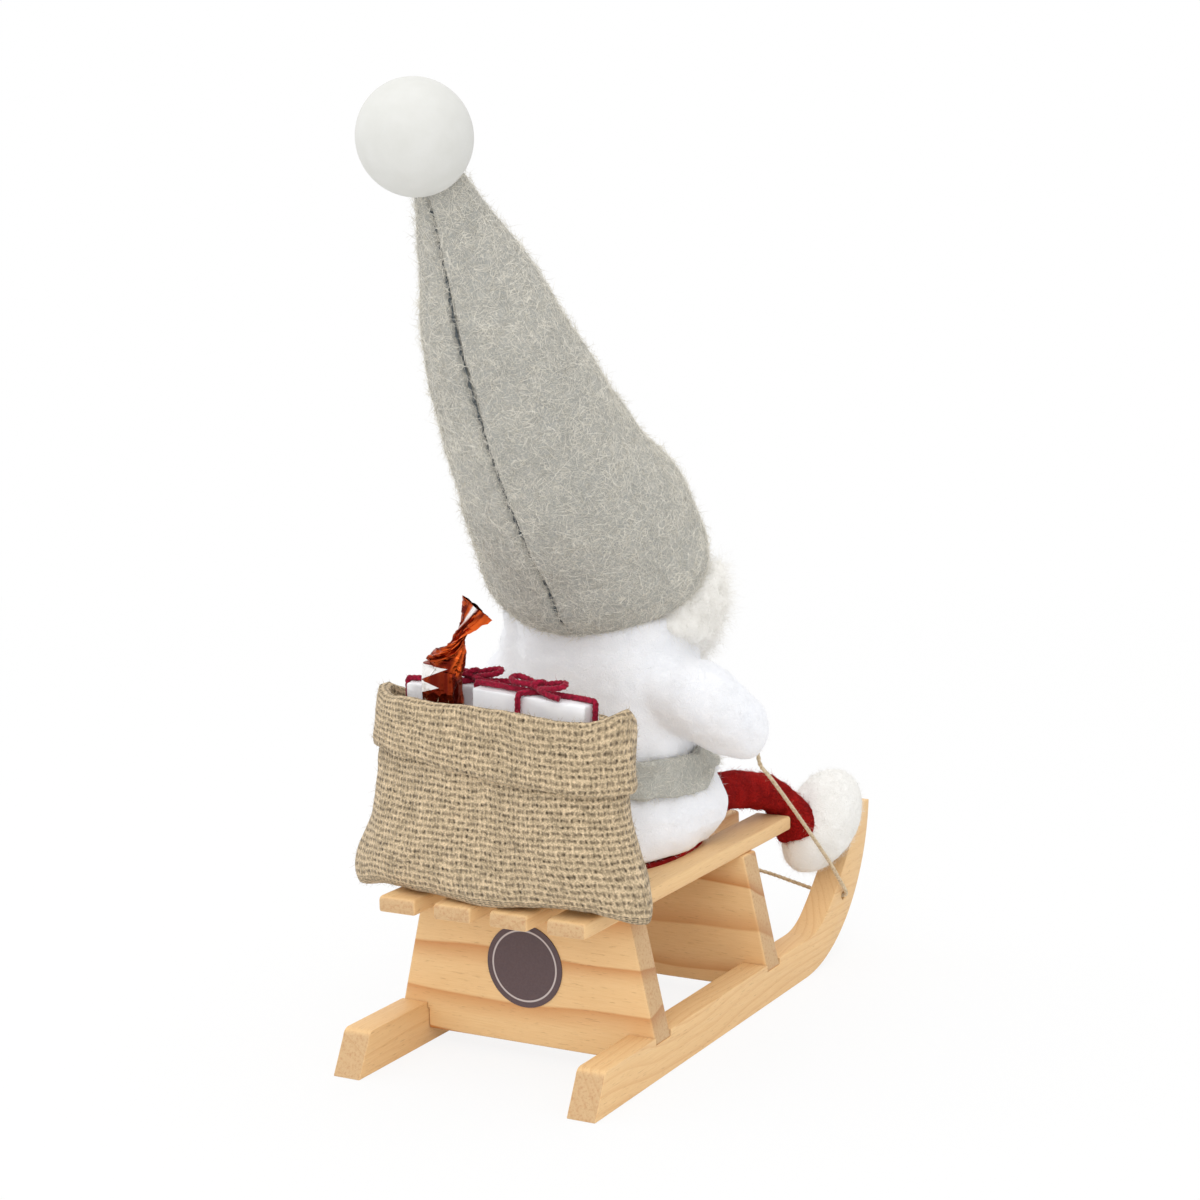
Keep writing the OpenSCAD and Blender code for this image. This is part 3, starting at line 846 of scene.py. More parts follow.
def wire_pine(g: Graph, given: dict[str, Socket]) -> dict[str, Socket]:
    """Wires pine: growth rings round the Z axis, fibres along it and pores.

    Args:
        g: The group's graph.
        given: The place in millimetres and the width of a ring.

    Returns:
        The late wood, the fibres and the pores.
    """
    place = given["Place"]
    slow = g.vector("MULTIPLY", place, (0.05, 0.05, 0.014))
    bent = g.vector("MULTIPLY_ADD", g.sway(slow, 1.0, 2.0), (9.0, 9.0, 0.0), place)
    reach = g.vector("LENGTH", g.vector("MULTIPLY", bent, (1.0, 1.0, 0.0)))
    year = g.math("DIVIDE", reach, given["Ring"])
    part = g.math("FRACT", year)
    late = g.math("MULTIPLY", g.span(part, 0.5, 0.95), g.span(part, 0.95, 1.0, 1.0, 0.0))
    lot = g.add("TexWhiteNoise", {"W": g.math("FLOOR", year)}, noise_dimensions="1D")
    weight = g.span(lot.outputs[0], 0.2, 0.9, 0.3, 1.0)
    fine = g.noise(g.vector("MULTIPLY", place, (7.0, 7.0, 0.2)), 1.0, 3.0)
    pore = g.noise(g.vector("MULTIPLY", place, (6.0, 6.0, 0.45)), 1.0, 1.0)
    return {
        "Late": g.math("MULTIPLY", g.math("POWER", late, 1.6), weight),
        "Fibre": g.span(fine, 0.3, 0.7),
        "Pore": g.span(pore, 0.66, 0.74),
    }


def wire_weave(g: Graph, given: dict[str, Socket]) -> dict[str, Socket]:
    """Wires a plain weave whose threads are one unit of U and V apart.

    Args:
        g: The group's graph.
        given: The place in threads each way.

    Returns:
        The weave's height, the painted shade of its holes and of slits beside its floats, and the
        tone of its threads.
    """
    thread = given["Thread"]
    sway, shake = g.sway(thread, 0.12, 2.0), g.sway(thread, 0.7, 1.0)
    bent = g.vector("MULTIPLY_ADD", sway, (1.2, 1.2, 0.0), thread)
    part = g.add("SeparateXYZ", {0: g.vector("MULTIPLY_ADD", shake, (0.6, 0.42, 0.0), bent)})
    u, v = part.outputs["X"], part.outputs["Y"]
    gap_u, gap_v = (g.math("FLOOR", g.math("ADD", way, 0.5)) for way in (u, v))
    beside = g.math("ABSOLUTE", g.math("SUBTRACT", u, gap_u))
    above = g.math("ABSOLUTE", g.math("SUBTRACT", v, gap_v))
    coarse = g.vector("MULTIPLY", thread, (2.4, 3.2, 1.0))
    rough = g.math("SUBTRACT", g.noise(coarse, 1.0, 2.0), 0.5)
    # Dark dots at the crossings: the holes between threads, darkened as painted shade
    oval = {"X": g.math("DIVIDE", beside, 0.42), "Y": g.math("DIVIDE", above, 0.4)}
    corner = g.vector("LENGTH", g.add("CombineXYZ", oval).outputs[0])
    far = g.math("MULTIPLY_ADD", rough, 0.9, corner)
    # Painted shadow: a dark slit at one end of every other float, as if lit from above
    phase = g.math("ADD", g.math("SUBTRACT", u, 0.5), gap_v)
    wave = g.math("COSINE", g.math("MULTIPLY", phase, math.pi))
    line = g.span(g.math("MULTIPLY_ADD", rough, 0.2, above), 0.3, 0.05)
    painted_slit = g.math("MULTIPLY", g.span(wave, 0.5, -0.6, 0.0, 0.6), line)
    dive = g.math("MAXIMUM", g.span(far, 1.0, 0.25, 0.0, 0.8), painted_slit)
    chance = g.span(g.noise(thread, 1.1, 1.0), 0.3, 0.7, 0.35, 1.25)
    fine = g.vector("MULTIPLY_ADD", thread, (2.7, 3.5, 1.0), (9.0, 9.0, 9.0))
    grain = g.noise(fine, 1.0, 2.0)
    tone = g.math("MULTIPLY", grain, 0.55)
    for across, ahead, seed in ((u, v, 0.0), (v, u, 50.0)):
        lane = g.math("MULTIPLY_ADD", g.math("FLOOR", across), 3.7, seed)
        spun = g.add("CombineXYZ", {"X": lane, "Y": g.math("MULTIPLY", ahead, 0.35)})
        tone = g.math("MULTIPLY_ADD", g.noise(spun.outputs[0], 1.0, 1.0), 0.22, tone)
    return {
        "Height": g.math("SUBTRACT", g.math("MULTIPLY", grain, 0.5), dive),
        "Shade": g.math("MULTIPLY", dive, chance),
        "Tone": g.span(tone, 0.36, 0.62),
    }


def felt_fibres() -> bpy.types.NodeTree:
    """Returns: the group of pressed felt."""
    return shared("Felt fibres", {"Place": "Vector"}, ("Fibre", "Cloud"), wire_felt)


def pine_growth() -> bpy.types.NodeTree:
    """Returns: the group of grown pine."""
    inputs = {"Place": "Vector", "Ring": "Float"}
    return shared("Pine growth", inputs, ("Late", "Fibre", "Pore"), wire_pine)


def open_weave() -> bpy.types.NodeTree:
    """Returns: the group of the sack's weave."""
    return shared("Open weave", {"Thread": "Vector"}, ("Height", "Shade", "Tone"), wire_weave)


# Finishes


@dataclass(frozen=True)
class Finish:
    """A procedural surface."""

    name: str

    def material(self) -> bpy.types.Material:
        """Makes the finish's material, once.

        Returns:
            The material.
        """
        title = f"{self.name} finish"
        if title in bpy.data.materials:
            return bpy.data.materials[title]
        made = bpy.data.materials.new(title)
        graph = Graph.blank(made)
        skin = graph.add("BsdfPrincipled")
        self.wire(graph, skin)
        graph.add("OutputMaterial", {"Surface": skin.outputs[0]})
        return made

    def wire(self, g: Graph, skin: bpy.types.Node) -> None:
        """Feeds the shader."""
        raise NotImplementedError

    def dress(self, piece: Piece) -> None:
        """Puts the finish on a piece."""
        piece.data.materials.clear()
        piece.data.materials.append(self.material())


@dataclass(frozen=True)
class Pine(Finish):
    """Planed pine with its pith line beside the board."""

    pith: tuple[float, float, float] = (0.0, 0.0, 0.0)
    grain: Grain = Grain.LENGTHWISE
    tilt: tuple[float, float] = (0.0, 0.0)
    ring: float = 3.2
    contrast: float = 0.7
    pores: float = 0.3
    pale: Colour = srgb(238, 200, 147)
    late: Colour = srgb(196, 122, 58)
    fibre: Colour = srgb(205, 155, 95)
    pore: Colour = srgb(140, 84, 38)
    # The tint of sawn ends, and the specks on them
    sawn: Colour = srgb(226, 226, 232)
    speck: Colour = srgb(184, 126, 84)

    def wire(self, g: Graph, skin: bpy.types.Node) -> None:
        """Feeds the shader with rings, fibres and pores, and with sawn ends.

        Args:
            g: The material's graph.
            skin: Its shader.
        """
        crosswise = self.grain is Grain.ACROSS
        upright = (0.0, -math.pi / 2, 0.0) if crosswise else (math.pi / 2, 0.0, 0.0)
        lean = (math.radians(self.tilt[0]), math.radians(self.tilt[1]), 0.0)
        local = g.turned(g.vector("SUBTRACT", g.place(), self.pith), upright)
        wood = g.group(pine_growth(), {"Place": g.turned(local, lean), "Ring": self.ring})
        colour = g.mix(g.math("MULTIPLY", wood["Late"], self.contrast), self.pale, self.late)
        colour = g.mix(g.span(wood["Fibre"], 0.0, 1.0, 0.22, 0.0), colour, self.fibre)
        colour = g.mix(g.math("MULTIPLY", wood["Pore"], self.pores), colour, self.pore)
        axis = (1.0, 0.0, 0.0) if crosswise else (0.0, 1.0, 0.0)
        facing = g.vector("DOT_PRODUCT", g.add("TexCoord").outputs["Normal"], axis)
        end = g.span(g.math("ABSOLUTE", facing), 0.6, 0.95)
        colour = g.mix(end, colour, self.sawn, "MULTIPLY")
        speck = g.span(g.noise(g.place(), 2.2, 2.0), 0.5, 0.7, 0.0, 0.5)
        colour = g.mix(g.math("MULTIPLY", end, speck), colour, self.speck)
        height = g.math("SUBTRACT", wood["Fibre"], g.math("MULTIPLY", wood["Pore"], 1.2))
        g.fill(skin, {
            "Base Color": colour,
            "Roughness": g.span(wood["Fibre"], 0.0, 1.0, 0.62, 0.5),
            "Normal": g.bump(height, 0.05, 0.5),
            "Specular IOR Level": 0.35,
        })


@dataclass(frozen=True)
class Felt(Finish):
    """Pressed felt of crossing fibres."""

    light: Colour = (0.8, 0.8, 0.8, 1.0)
    dark: Colour = (0.6, 0.6, 0.6, 1.0)
    depth: float = 0.16
    sheen: float = 0.25
    fibre: float = 0.55

    def wire(self, g: Graph, skin: bpy.types.Node) -> None:
        """Feeds the shader with fibres and clouds.

        Args:
            g: The material's graph.
            skin: Its shader.
        """
        felt = g.group(felt_fibres(), {"Place": g.place()})
        fibres = g.math("MULTIPLY", felt["Fibre"], self.fibre)
        clouds = g.math("MULTIPLY", felt["Cloud"], 1 - self.fibre)
        g.fill(skin, {
            "Base Color": g.mix(g.math("ADD", fibres, clouds), self.dark, self.light),
            "Normal": g.bump(felt["Fibre"], self.depth, 0.7),
            "Roughness": 0.95,
            "Specular IOR Level": 0.1,
            "Sheen Weight": self.sheen,
            "Sheen Roughness": 0.6,
            "Sheen Tint": self.light,
        })


@dataclass(frozen=True)
class Burlap(Finish):
    """Coarse undyed cloth in an open weave."""

    light: Colour = srgb(234, 209, 172)
    dark: Colour = srgb(152, 135, 108)
    # The dark of the holes and slits, painted shade
    hole: Colour = srgb(60, 48, 33)

    def wire(self, g: Graph, skin: bpy.types.Node) -> None:
        """Feeds the shader with threads over and under each other, and with painted shade in their
        gaps.

        Args:
            g: The material's graph.
            skin: Its shader.
        """
        weave = g.group(open_weave(), {"Thread": g.add("UVMap").outputs[0]})
        thread = g.mix(weave["Tone"], self.dark, self.light)
        shade = g.math("MINIMUM", weave["Shade"], 0.95)
        g.fill(skin, {
            "Base Color": g.mix(shade, thread, self.hole),
            "Normal": g.bump(weave["Height"], 0.3, 1.0),
            "Roughness": 0.9,
            "Specular IOR Level": 0.15,
            "Sheen Weight": 0.15,
        })


@dataclass(frozen=True)
class Strand(Finish):
    """Spun or loose fibre: cord, yarn and wool."""

    light: Colour = (0.8, 0.8, 0.8, 1.0)
    dark: Colour = (0.6, 0.6, 0.6, 1.0)
    size: float = 2.5
    sheen: float = 0.3

    def wire(self, g: Graph, skin: bpy.types.Node) -> None:
        """Feeds the shader with fine streaks.

        Args:
            g: The material's graph.
            skin: Its shader.
        """
        place = g.place()
        streak = g.span(g.noise(place, self.size, 3.0), 0.35, 0.65)
        g.fill(skin, {
            "Base Color": g.mix(streak, self.dark, self.light),
            "Normal": g.bump(g.noise(place, 3 * self.size, 2.0), 0.08, 0.6),
            "Roughness": 0.9,
            "Specular IOR Level": 0.15,
            "Sheen Weight": self.sheen,
        })


@dataclass(frozen=True)
class Smooth(Finish):
    """A painted or papered surface with a faint unevenness."""

    light: Colour = (0.8, 0.8, 0.8, 1.0)
    dark: Colour = (0.7, 0.7, 0.7, 1.0)
    size: float = 0.4
    depth: float = 0.02
    rough: float = 0.5

    def wire(self, g: Graph, skin: bpy.types.Node) -> None:
        """Feeds the shader with a faint cloudiness.

        Args:
            g: The material's graph.
            skin: Its shader.
        """
        place = g.place()
        cloud = g.span(g.noise(place, self.size, 4.0), 0.3, 0.7)
        g.fill(skin, {
            "Base Color": g.mix(cloud, self.dark, self.light),
            "Normal": g.bump(g.noise(place, 6 * self.size, 3.0), self.depth, 0.5),
            "Roughness": self.rough,
        })


@dataclass(frozen=True)
class Sticker(Finish):
    """A dark round paper label, bare but for a thin pale ring."""

    middle: tuple[float, float, float] = (0.0, 29.1, 17.0)
    ring_r: float = 6.35
    paper: Colour = srgb(84, 66, 69)
    worn: Colour = srgb(104, 86, 87)
    ring: Colour = srgb(196, 186, 184)

    def wire(self, g: Graph, skin: bpy.types.Node) -> None:
        """Feeds the shader with paper grain and a ring.

        Args:
            g: The material's graph.
            skin: Its shader.
        """
        place = g.place()
        local = g.vector("MULTIPLY", g.vector("SUBTRACT", place, self.middle), (1.0, 0.0, 1.0))
        off = g.math("ABSOLUTE", g.math("SUBTRACT", g.vector("LENGTH", local), self.ring_r))
        cloud = g.span(g.noise(place, 3.0, 4.0), 0.3, 0.7, 0.0, 0.3)
        paper = g.mix(cloud, self.paper, self.worn)
        g.fill(skin, {
            "Base Color": g.mix(g.span(off, 0.2, 0.1), paper, self.ring),
            "Normal": g.bump(g.noise(place, 8.0, 2.0), 0.01, 0.4),
            "Roughness": 0.55,
        })


@dataclass(frozen=True)
class Foil(Finish):
    """Crumpled coppery foil with pale bands, streaks of painted reflection and a painted highlight
    on the fan.
    """

    # Bright and deep copper, between which the painted reflections streak, and the pale of the
    # bands
    copper: Colour = srgb(226, 96, 36)
    deep: Colour = srgb(104, 24, 10)
    band: Colour = srgb(240, 238, 236)
    at: tuple[float, float, float] = (9.96, 37.41, 46.95)
    across: tuple[float, float, float] = (0.998, -0.07, 0.0)
    # Height, reach from the left, and slopes below and above of the pale teeth
    teeth: tuple[tuple[float, float, float, float], ...] = (
        (20.4, -0.8, 3.6, 3.6),
        (23.7, -2.4, 2.6, 9.0),
    )
    # Where round the fan its pale painted highlight lies
    glint: float = 0.72

    def wire(self, g: Graph, skin: bpy.types.Node) -> None:
        """Feeds the shader with teeth, a painted highlight, streaks of painted reflection and
        creases.

        Args:
            g: The material's graph.
            skin: Its shader.
        """
        place = g.place()
        local = g.vector("SUBTRACT", place, self.at)
        wide = g.vector("DOT_PRODUCT", local, self.across)
        high = g.add("SeparateXYZ", {0: local}).outputs["Z"]
        pale: Value = 0.0
        for middle, reach, below, above in self.teeth:
            off = g.math("SUBTRACT", high, middle)
            under, over = g.math("MULTIPLY", off, -below), g.math("MULTIPLY", off, above)
            edge = g.math("ADD", g.math("MAXIMUM", under, over), reach)
            pale = g.math("MAXIMUM", pale, g.span(g.math("SUBTRACT", wide, edge), 0.0, 0.2))
        grid = g.add("UVMap").outputs[0]
        part = g.add("SeparateXYZ", {0: grid})
        u, v = part.outputs["X"], part.outputs["Y"]
        # Painted highlight: a pale streak across the fan
        off = g.math("ABSOLUTE", g.math("SUBTRACT", u, self.glint))
        glint = g.math("MULTIPLY", g.span(v, 0.79, 0.83), g.span(off, 0.045, 0.025))
        pale = g.math("MAXIMUM", pale, glint)
        # Painted reflection: streaks between deep and bright copper, darker low on the bar and
        # brighter up the twist and fan
        streak = g.noise(g.vector("MULTIPLY", grid, (16.0, 5.0, 1.0)), 1.0, 2.0)
        share = g.math("MULTIPLY", g.span(streak, 0.38, 0.62), g.span(v, 0.3, 0.6, 0.22, 1.0))
        tone = g.mix(share, self.deep, self.copper)
        creases = g.add("TexVoronoi", {"Vector": place, "Scale": 0.9}).outputs["Distance"]
        g.fill(skin, {
            "Base Color": g.mix(pale, tone, self.band),
            "Metallic": g.span(pale, 0.0, 1.0, 0.95, 0.2),
            "Normal": g.bump(creases, 0.3, 0.5),
            "Roughness": 0.24,
        })


WHITE_FELT = Felt("white_felt", srgb(253, 253, 255), srgb(242, 244, 249), depth=0.1)
GREY_FELT = Felt("grey_felt", srgb(220, 215, 203), srgb(160, 161, 157), depth=0.22, fibre=0.85)
WISPS = Felt("grey_wisps", srgb(244, 240, 229), srgb(220, 216, 206), depth=0.05)
SEAM = Strand("seam_thread", srgb(92, 98, 100), srgb(56, 62, 66))
BELT_FELT = Felt("belt_felt", srgb(212, 210, 200), srgb(166, 166, 160), depth=0.18, fibre=0.75)
BOOT_FELT = Felt("boot_felt", srgb(247, 246, 243), srgb(238, 236, 231), depth=0.1)
RED_FELT = Felt("red_felt", srgb(184, 30, 26), srgb(94, 6, 10), depth=0.22, sheen=0.1)
# The red felt in a lighter tone for the legs' loose hairs: a painted highlight where they catch the
# light
RED_WISPS_HIGHLIGHT = Felt("red_wisps", srgb(204, 52, 42), srgb(144, 16, 16), depth=0.05, sheen=0.1)
BURLAP = Burlap("burlap")
CORD = Strand("cord", srgb(226, 208, 178), srgb(180, 158, 124))
CRIMSON = Strand("yarn", srgb(166, 22, 56), srgb(112, 8, 34), sheen=0.15)
WOOL = Strand("wool", srgb(250, 248, 244), srgb(241, 239, 234), size=0.5)
WADDING = Strand("wadding", srgb(238, 234, 226), srgb(214, 208, 198), size=0.8)
FRAY = Strand("fray", srgb(198, 178, 144), srgb(150, 126, 92))
PAPER = Smooth("parcel_paper", srgb(248, 248, 250), srgb(240, 240, 244), depth=0.03, rough=0.55)
BALL = Smooth("white_ball", srgb(217, 217, 213), srgb(212, 212, 207), size=0.3, rough=0.6)
SKIN_WOOD = Pine(
    "pale_wood", (3.0, 14.0, 60.0), Grain.ACROSS, (4.0, 8.0), ring=2.2, contrast=0.5, pores=0.2,
    pale=srgb(240, 214, 178), late=srgb(216, 172, 124),
)
BLACK = Smooth("black_bead", srgb(24, 22, 22), srgb(14, 13, 13), depth=0.005, rough=0.25)
CHOCOLATE = Smooth("chocolate", srgb(84, 48, 28), srgb(66, 36, 20), rough=0.4)
LABEL = Sticker("label")
FOIL = Foil("foil")


def settle(piece: Piece, body: Body, slot: Slot, finish: Finish, *nodes: str) -> None:
    """Dresses a piece, hangs it on its body and lets it stand for CAD nodes.

    Args:
        piece: The piece.
        body: The body it rides on.
        slot: The record's slot for the piece; it is not used.
        finish: What it is dressed in here.
        nodes: The CAD nodes that it stands for.
    """
    finish.dress(piece)
    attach(piece, body.value)
    if nodes:
        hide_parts(*nodes)
    LOG.info("%s: %d faces on %s", piece.name, len(piece.data.polygons), body.value)


def keep(node: str, finish: Finish) -> None:
    """Carries a CAD node over as it is, with a finish."""
    finish.dress(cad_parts[node])
    LOG.info("%s: carried over", node)


# Sub-assemblies


@dataclass
class Rein:
    """The thin twisted cord from nose to nose round both mittens."""

    diameter: float = 0.8
    pitch: float = 2.2
    right: tuple[tuple[float, float, float], ...] = (
        (-22.6, -18.2, 12.0),
        (-24.6, -18.2, 12.0),
        (-26.0, -18.2, 12.1),
        (-26.7, -17.2, 13.2),
        (-26.8, -13.0, 17.2),
        (-26.9, -7.8, 22.0),
        (-26.2, 3.0, 32.0),
        (-25.1, 14.0, 42.2),
        (-24.5, 18.0, 45.8),
        (-23.7, 17.6, 48.0),
        (-22.0, 15.6, 50.2),
        (-18.4, 13.6, 51.2),
        (-13.4, 12.4, 51.4),
        (-8.0, 9.7, 51.2),
    )
    middle: tuple[float, float, float] = (0.0, 8.5, 51.0)
    span: tuple[tuple[float, float, float], ...] = (
        (15.5, -18.1, 13.4),
        (8.0, -18.0, 15.0),
        (0.0, -18.0, 15.6),
        (-8.0, -18.0, 15.0),
        (-15.5, -18.1, 13.4),
        (-21.4, -18.2, 12.0),
    )

    def build(self) -> None:
        left = [(-x, y, z) for x, y, z in reversed(self.right)]
        route = resample([*self.right, self.middle, *left, *self.span], steps=900) - (0, MID_Y, 0)
        cord = tube("rein", route, self.diameter / 2, sides=12, plies=2, pitch=self.pitch)
        settle(cord, Body.SLED, Slot.CORD, CORD, "rein_cord")
        hairs = Fluff(count=900, length=1.2, lift=0.8, width=0.035, seed=4)
        settle(hairs.grow("rein_hairs", cord), Body.SLED, Slot.CORD, CORD)


@dataclass
class Sled:
    """Two runners, two cross boards, four slats and the bare label."""

    ease: float = 0.45
    # Where, in x and z, the pith of the tree lies that each slat was cut from
    slat_piths: tuple[tuple[float, float], ...] = (
        (20.0, -14.0),
        (30.0, 60.0),
        (-12.0, 8.0),
        (-26.0, 64.0),
    )

    def cuts(self) -> dict[str, Pine]:
        """Chooses each board's own cut of pine.

        Returns:
            The finishes by node.
        """
        cuts = {
            "left_runner": Pine(
                "pine_left_runner", (64.0, 0.0, -64.0), tilt=(0.8, 0.5), ring=1.3, contrast=0.25
            ),
            "right_runner": Pine(
                "pine_right_runner", (-90.0, 0.0, 70.0), tilt=(-0.7, 0.6), ring=1.2, contrast=0.25
            ),
            "rear_bridge": Pine(
                "pine_rear_bridge", (0.0, 18.0, -49.2), Grain.ACROSS, (0.4, 0.6), 7.7, 1.0
            ),
            "front_bridge": Pine(
                "pine_front_bridge", (0.0, -40.0, 64.0), Grain.ACROSS, (-1.0, 0.8), 7.0, 0.8
            ),
        }
        for number, (x, z) in enumerate(self.slat_piths, 1):
            name, ring = f"pine_slat_{number}", 1.6 + 0.3 * number
            cuts[f"deck_slat_{number}"] = Pine(
                name, (x, 0.0, z), tilt=(1.0, -0.4), ring=ring, contrast=0.3
            )
        return cuts

    def build(self) -> None:
        """Sands the boards and dresses the label."""
        for node, pine in self.cuts().items():
            board = eased_copy(node, f"{node}_wood", self.ease)
            settle(board, Body.SLED, Slot.PINE, pine, node)
        keep("round_label", LABEL)


@dataclass
class Figure:
    """The stuffed body in its coat, with belt, arms, legs and boots."""

    head_at: tuple[float, float] = (31.5 - MID_Y, 79.0)
    head_r: float = 15.0
    # Within this of the middle the arms lie against the coat, pressed in by so much
    arm_x: float = 18.4
    arm_press: float = 1.3
    # Above this height the arms are flattened
    arm_top: float = 63.0
    arm_flatten: float = 0.38
    # Height, y and width of the fold over the elbow
    elbow: tuple[float, float, float] = (0.8, -9.0, 4.0)
    elbow_from: float = 54.0
    arm_swell: float = 0.4
    # Side, place and size of the pads that slope the shoulders
    pads: tuple[tuple[Side, tuple[float, ...]], ...] = (
        (Side.LEFT, (14.0, 37.5 - MID_Y, 63.0, 6.4, 6.5, 7.0)),
        (Side.LEFT, (13.0, 38.0 - MID_Y, 69.0, 5.0, 5.5, 6.5)),
        (Side.RIGHT, (13.6, 33.4 - MID_Y, 63.2, 6.0, 8.4, 6.2)),
    )
    # The coat's back, whose seams are smoothed, from this y and between these heights
    weld_y: float = -1.0
    weld_z: tuple[float, float] = (53.0, 72.0)
    # The collar: its distance from the head's axis, where it starts to rise, how far it rises and
    # how closely it hugs the head
    collar_reach: tuple[float, float] = (10.5, 18.5)
    collar_from: float = 70.4
    collar_rise: float = 2.8
    collar_hug: float = 0.35
    # The coat's skirt stands out by so much between these heights, from this y forwards
    skirt_z: tuple[float, float] = (32.0, 45.5)
    skirt_y: float = -4.0
    skirt_out: float = 1.0
    belt_z: tuple[float, float] = (42.4, 49.4)
    # From this y forwards the belt rises on both sides and is drawn in
    belt_front: float = -8.0
    belt_rise: float = 2.2
    belt_draw: float = 0.1
    knee_y: float = -4.0
    knee_sag: float = 1.2
    # From this y forwards the shin is drawn back and bent
    shin_y: float = -38.0
    shin_back: float = 1.8
    # Heights on the shin, and how far each is bent up or down
    shin_bend: tuple[tuple[float, float], tuple[float, float]] = ((24.0, 38.0), (0.2, -1.9))
    # The leg is sewn in behind this y, and its boot begins below this height
    hip_y: float = 12.0 - MID_Y
    ankle_z: float = 30.0
    leg_shrink: float = 0.45
    boot_scale: tuple[float, float, float] = (0.85, 0.88, 1.0)
    boot_sink: float = 0.4
    boot_swell: float = 0.15

    def build(self) -> None:
        """Makes the body from the pad up."""
        self.pad_and_body()
        self.coat()
        self.belt()
        for side in Side:
            self.leg(side)

    def pad_and_body(self) -> None:
        """Lays the red pad and stuffs the body."""
        pad = soft_copy("seat_pad", "seat_pad_felt", levels=0)
        settle(smooth(pad, angle=40), Body.SLED, Slot.RED_FELT, RED_FELT, "seat_pad")
        hairs = Fluff(count=3500, length=1.5, lift=0.6, seed=11).grow(
            "seat_pad_hairs", pad, lambda root, normal: abs(normal[:, 2]) < 0.5
        )
        settle(hairs, Body.SLED, Slot.RED_FELT, RED_FELT)
        body = even_copy("torso", "torso_felt", voxel=0.9, rounds=6)
        settle(body, Body.SLED, Slot.RED_FELT, RED_FELT, "torso")

    def sleeve(self, side: Side) -> Piece:
        """Stuffs an arm with its mitten and lays it against the coat.

        Args:
            side: The arm's side.

        Returns:
            The arm.
        """
        node = f"{side.word}_sleeve"
        arm = even_copy(node, f"{node}_felt", voxel=0.7, rounds=6)
        inner = ramp(abs(read(arm)[:, 0]), self.arm_x, -1.6)
        Stuffing(grow=0.05, cap=0.5).fill(arm, inner)
        place = read(arm)
        place[:, 0] -= side.value * self.arm_press * inner
        place[:, 2] -= self.arm_flatten * np.maximum(place[:, 2] - self.arm_top, 0)
        high, y, width = self.elbow
        fold = high * bell(place[:, 1] - y, width)
        place[:, 2] += fold * ramp(place[:, 2], self.elbow_from, 3)
        move(arm, place)
        swell(arm, self.arm_swell)
        return arm

    def coat(self) -> None:
        """Sews the arms to the coat and hangs it in soft folds round the belt."""
        parts = [cad_copy("coat", "coat_felt")]
        parts += [self.sleeve(side) for side in Side]
        for side, (x, y, z, *size) in self.pads:
            parts.append(ellipsoid((side.value * x, y, z), size))
        coat = joined("coat_felt", parts)
        even_out(coat, voxel=0.55, rounds=6)
        self.weld(coat)
        self.close_collar(coat)
        place = read(coat)
        hem, waist = self.skirt_z
        skirt = ramp(place[:, 2], waist, -3) * ramp(place[:, 2], hem, 4)
        skirt *= ramp(place[:, 1], self.skirt_y, -6)
        place[:, 0] += self.skirt_out * np.clip(place[:, 0] / 8, -1, 1) * skirt
        move(coat, place)
        low, high = self.belt_z
        near = bell(np.minimum(abs(place[:, 2] - low), abs(place[:, 2] - high)), 3.5)
        folds = 0.2 * near * ripple(place * (1.0, 1.0, 0.25), size=7.0, seed=3)
        lumps = 0.1 * ripple(place, size=12.0, seed=5)
        swell(coat, folds + lumps + 0.03 * ripple(place, size=3.0, seed=9))
        nodes = ("coat", "left_sleeve", "right_sleeve")
        settle(smooth(coat), Body.SLED, Slot.WHITE_FELT, WHITE_FELT, *nodes)
        hairs = Fluff(count=22000, length=1.3, lift=0.28, seed=12).grow("coat_hairs", coat)
        settle(hairs, Body.SLED, Slot.WHITE_FELT, WHITE_FELT)

    def weld(self, coat: Piece) -> None:
        """Smooths the seams between the coat's back, the arms and the pads.

        Args:
            coat: The coat with its arms and pads.
        """
        place = read(coat)
        low, high = self.weld_z
        behind = ramp(place[:, 1], self.weld_y, 4) * ramp(place[:, 2], low, 4)
        behind *= ramp(place[:, 2], high, -4)
        group = coat.vertex_groups.new(name="weld")
        for level in (0.25, 0.5, 0.75, 1.0):
            group.add(np.flatnonzero(abs(behind - level) <= 0.125).tolist(), level, "REPLACE")
        work(coat, "SMOOTH", factor=0.5, iterations=24, vertex_group=group.name)
        coat.vertex_groups.clear()

    def close_collar(self, coat: Piece) -> None:
        """Draws the collar up under the hat along the head.

        Args:
            coat: The coat.
        """
        place = read(coat)
        flat = place[:, :2] - (0.0, self.head_at[0])
        reach = np.linalg.norm(flat, axis=1)
        near = (reach > self.collar_reach[0]) & (reach < self.collar_reach[1])
        share = np.where(near, ramp(place[:, 2], self.collar_from, 2.2), 0)
        share *= ramp(flat[:, 1], -7, 5)
        high = place[:, 2] + self.collar_rise * share
        wide = self.girth(high) - self.girth(place[:, 2]) - self.collar_hug * share
        grown = flat * (1 + share * wide / np.maximum(reach, 1))[:, None]
        place[:, :2] = grown + (0.0, self.head_at[0])
        place[:, 2] = high
        move(coat, place)

    def girth(self, height: Points) -> Points:
        """Gives the head's radius at a height."""
        return np.sqrt(np.maximum(self.head_r**2 - (height - self.head_at[1]) ** 2, 1.0))

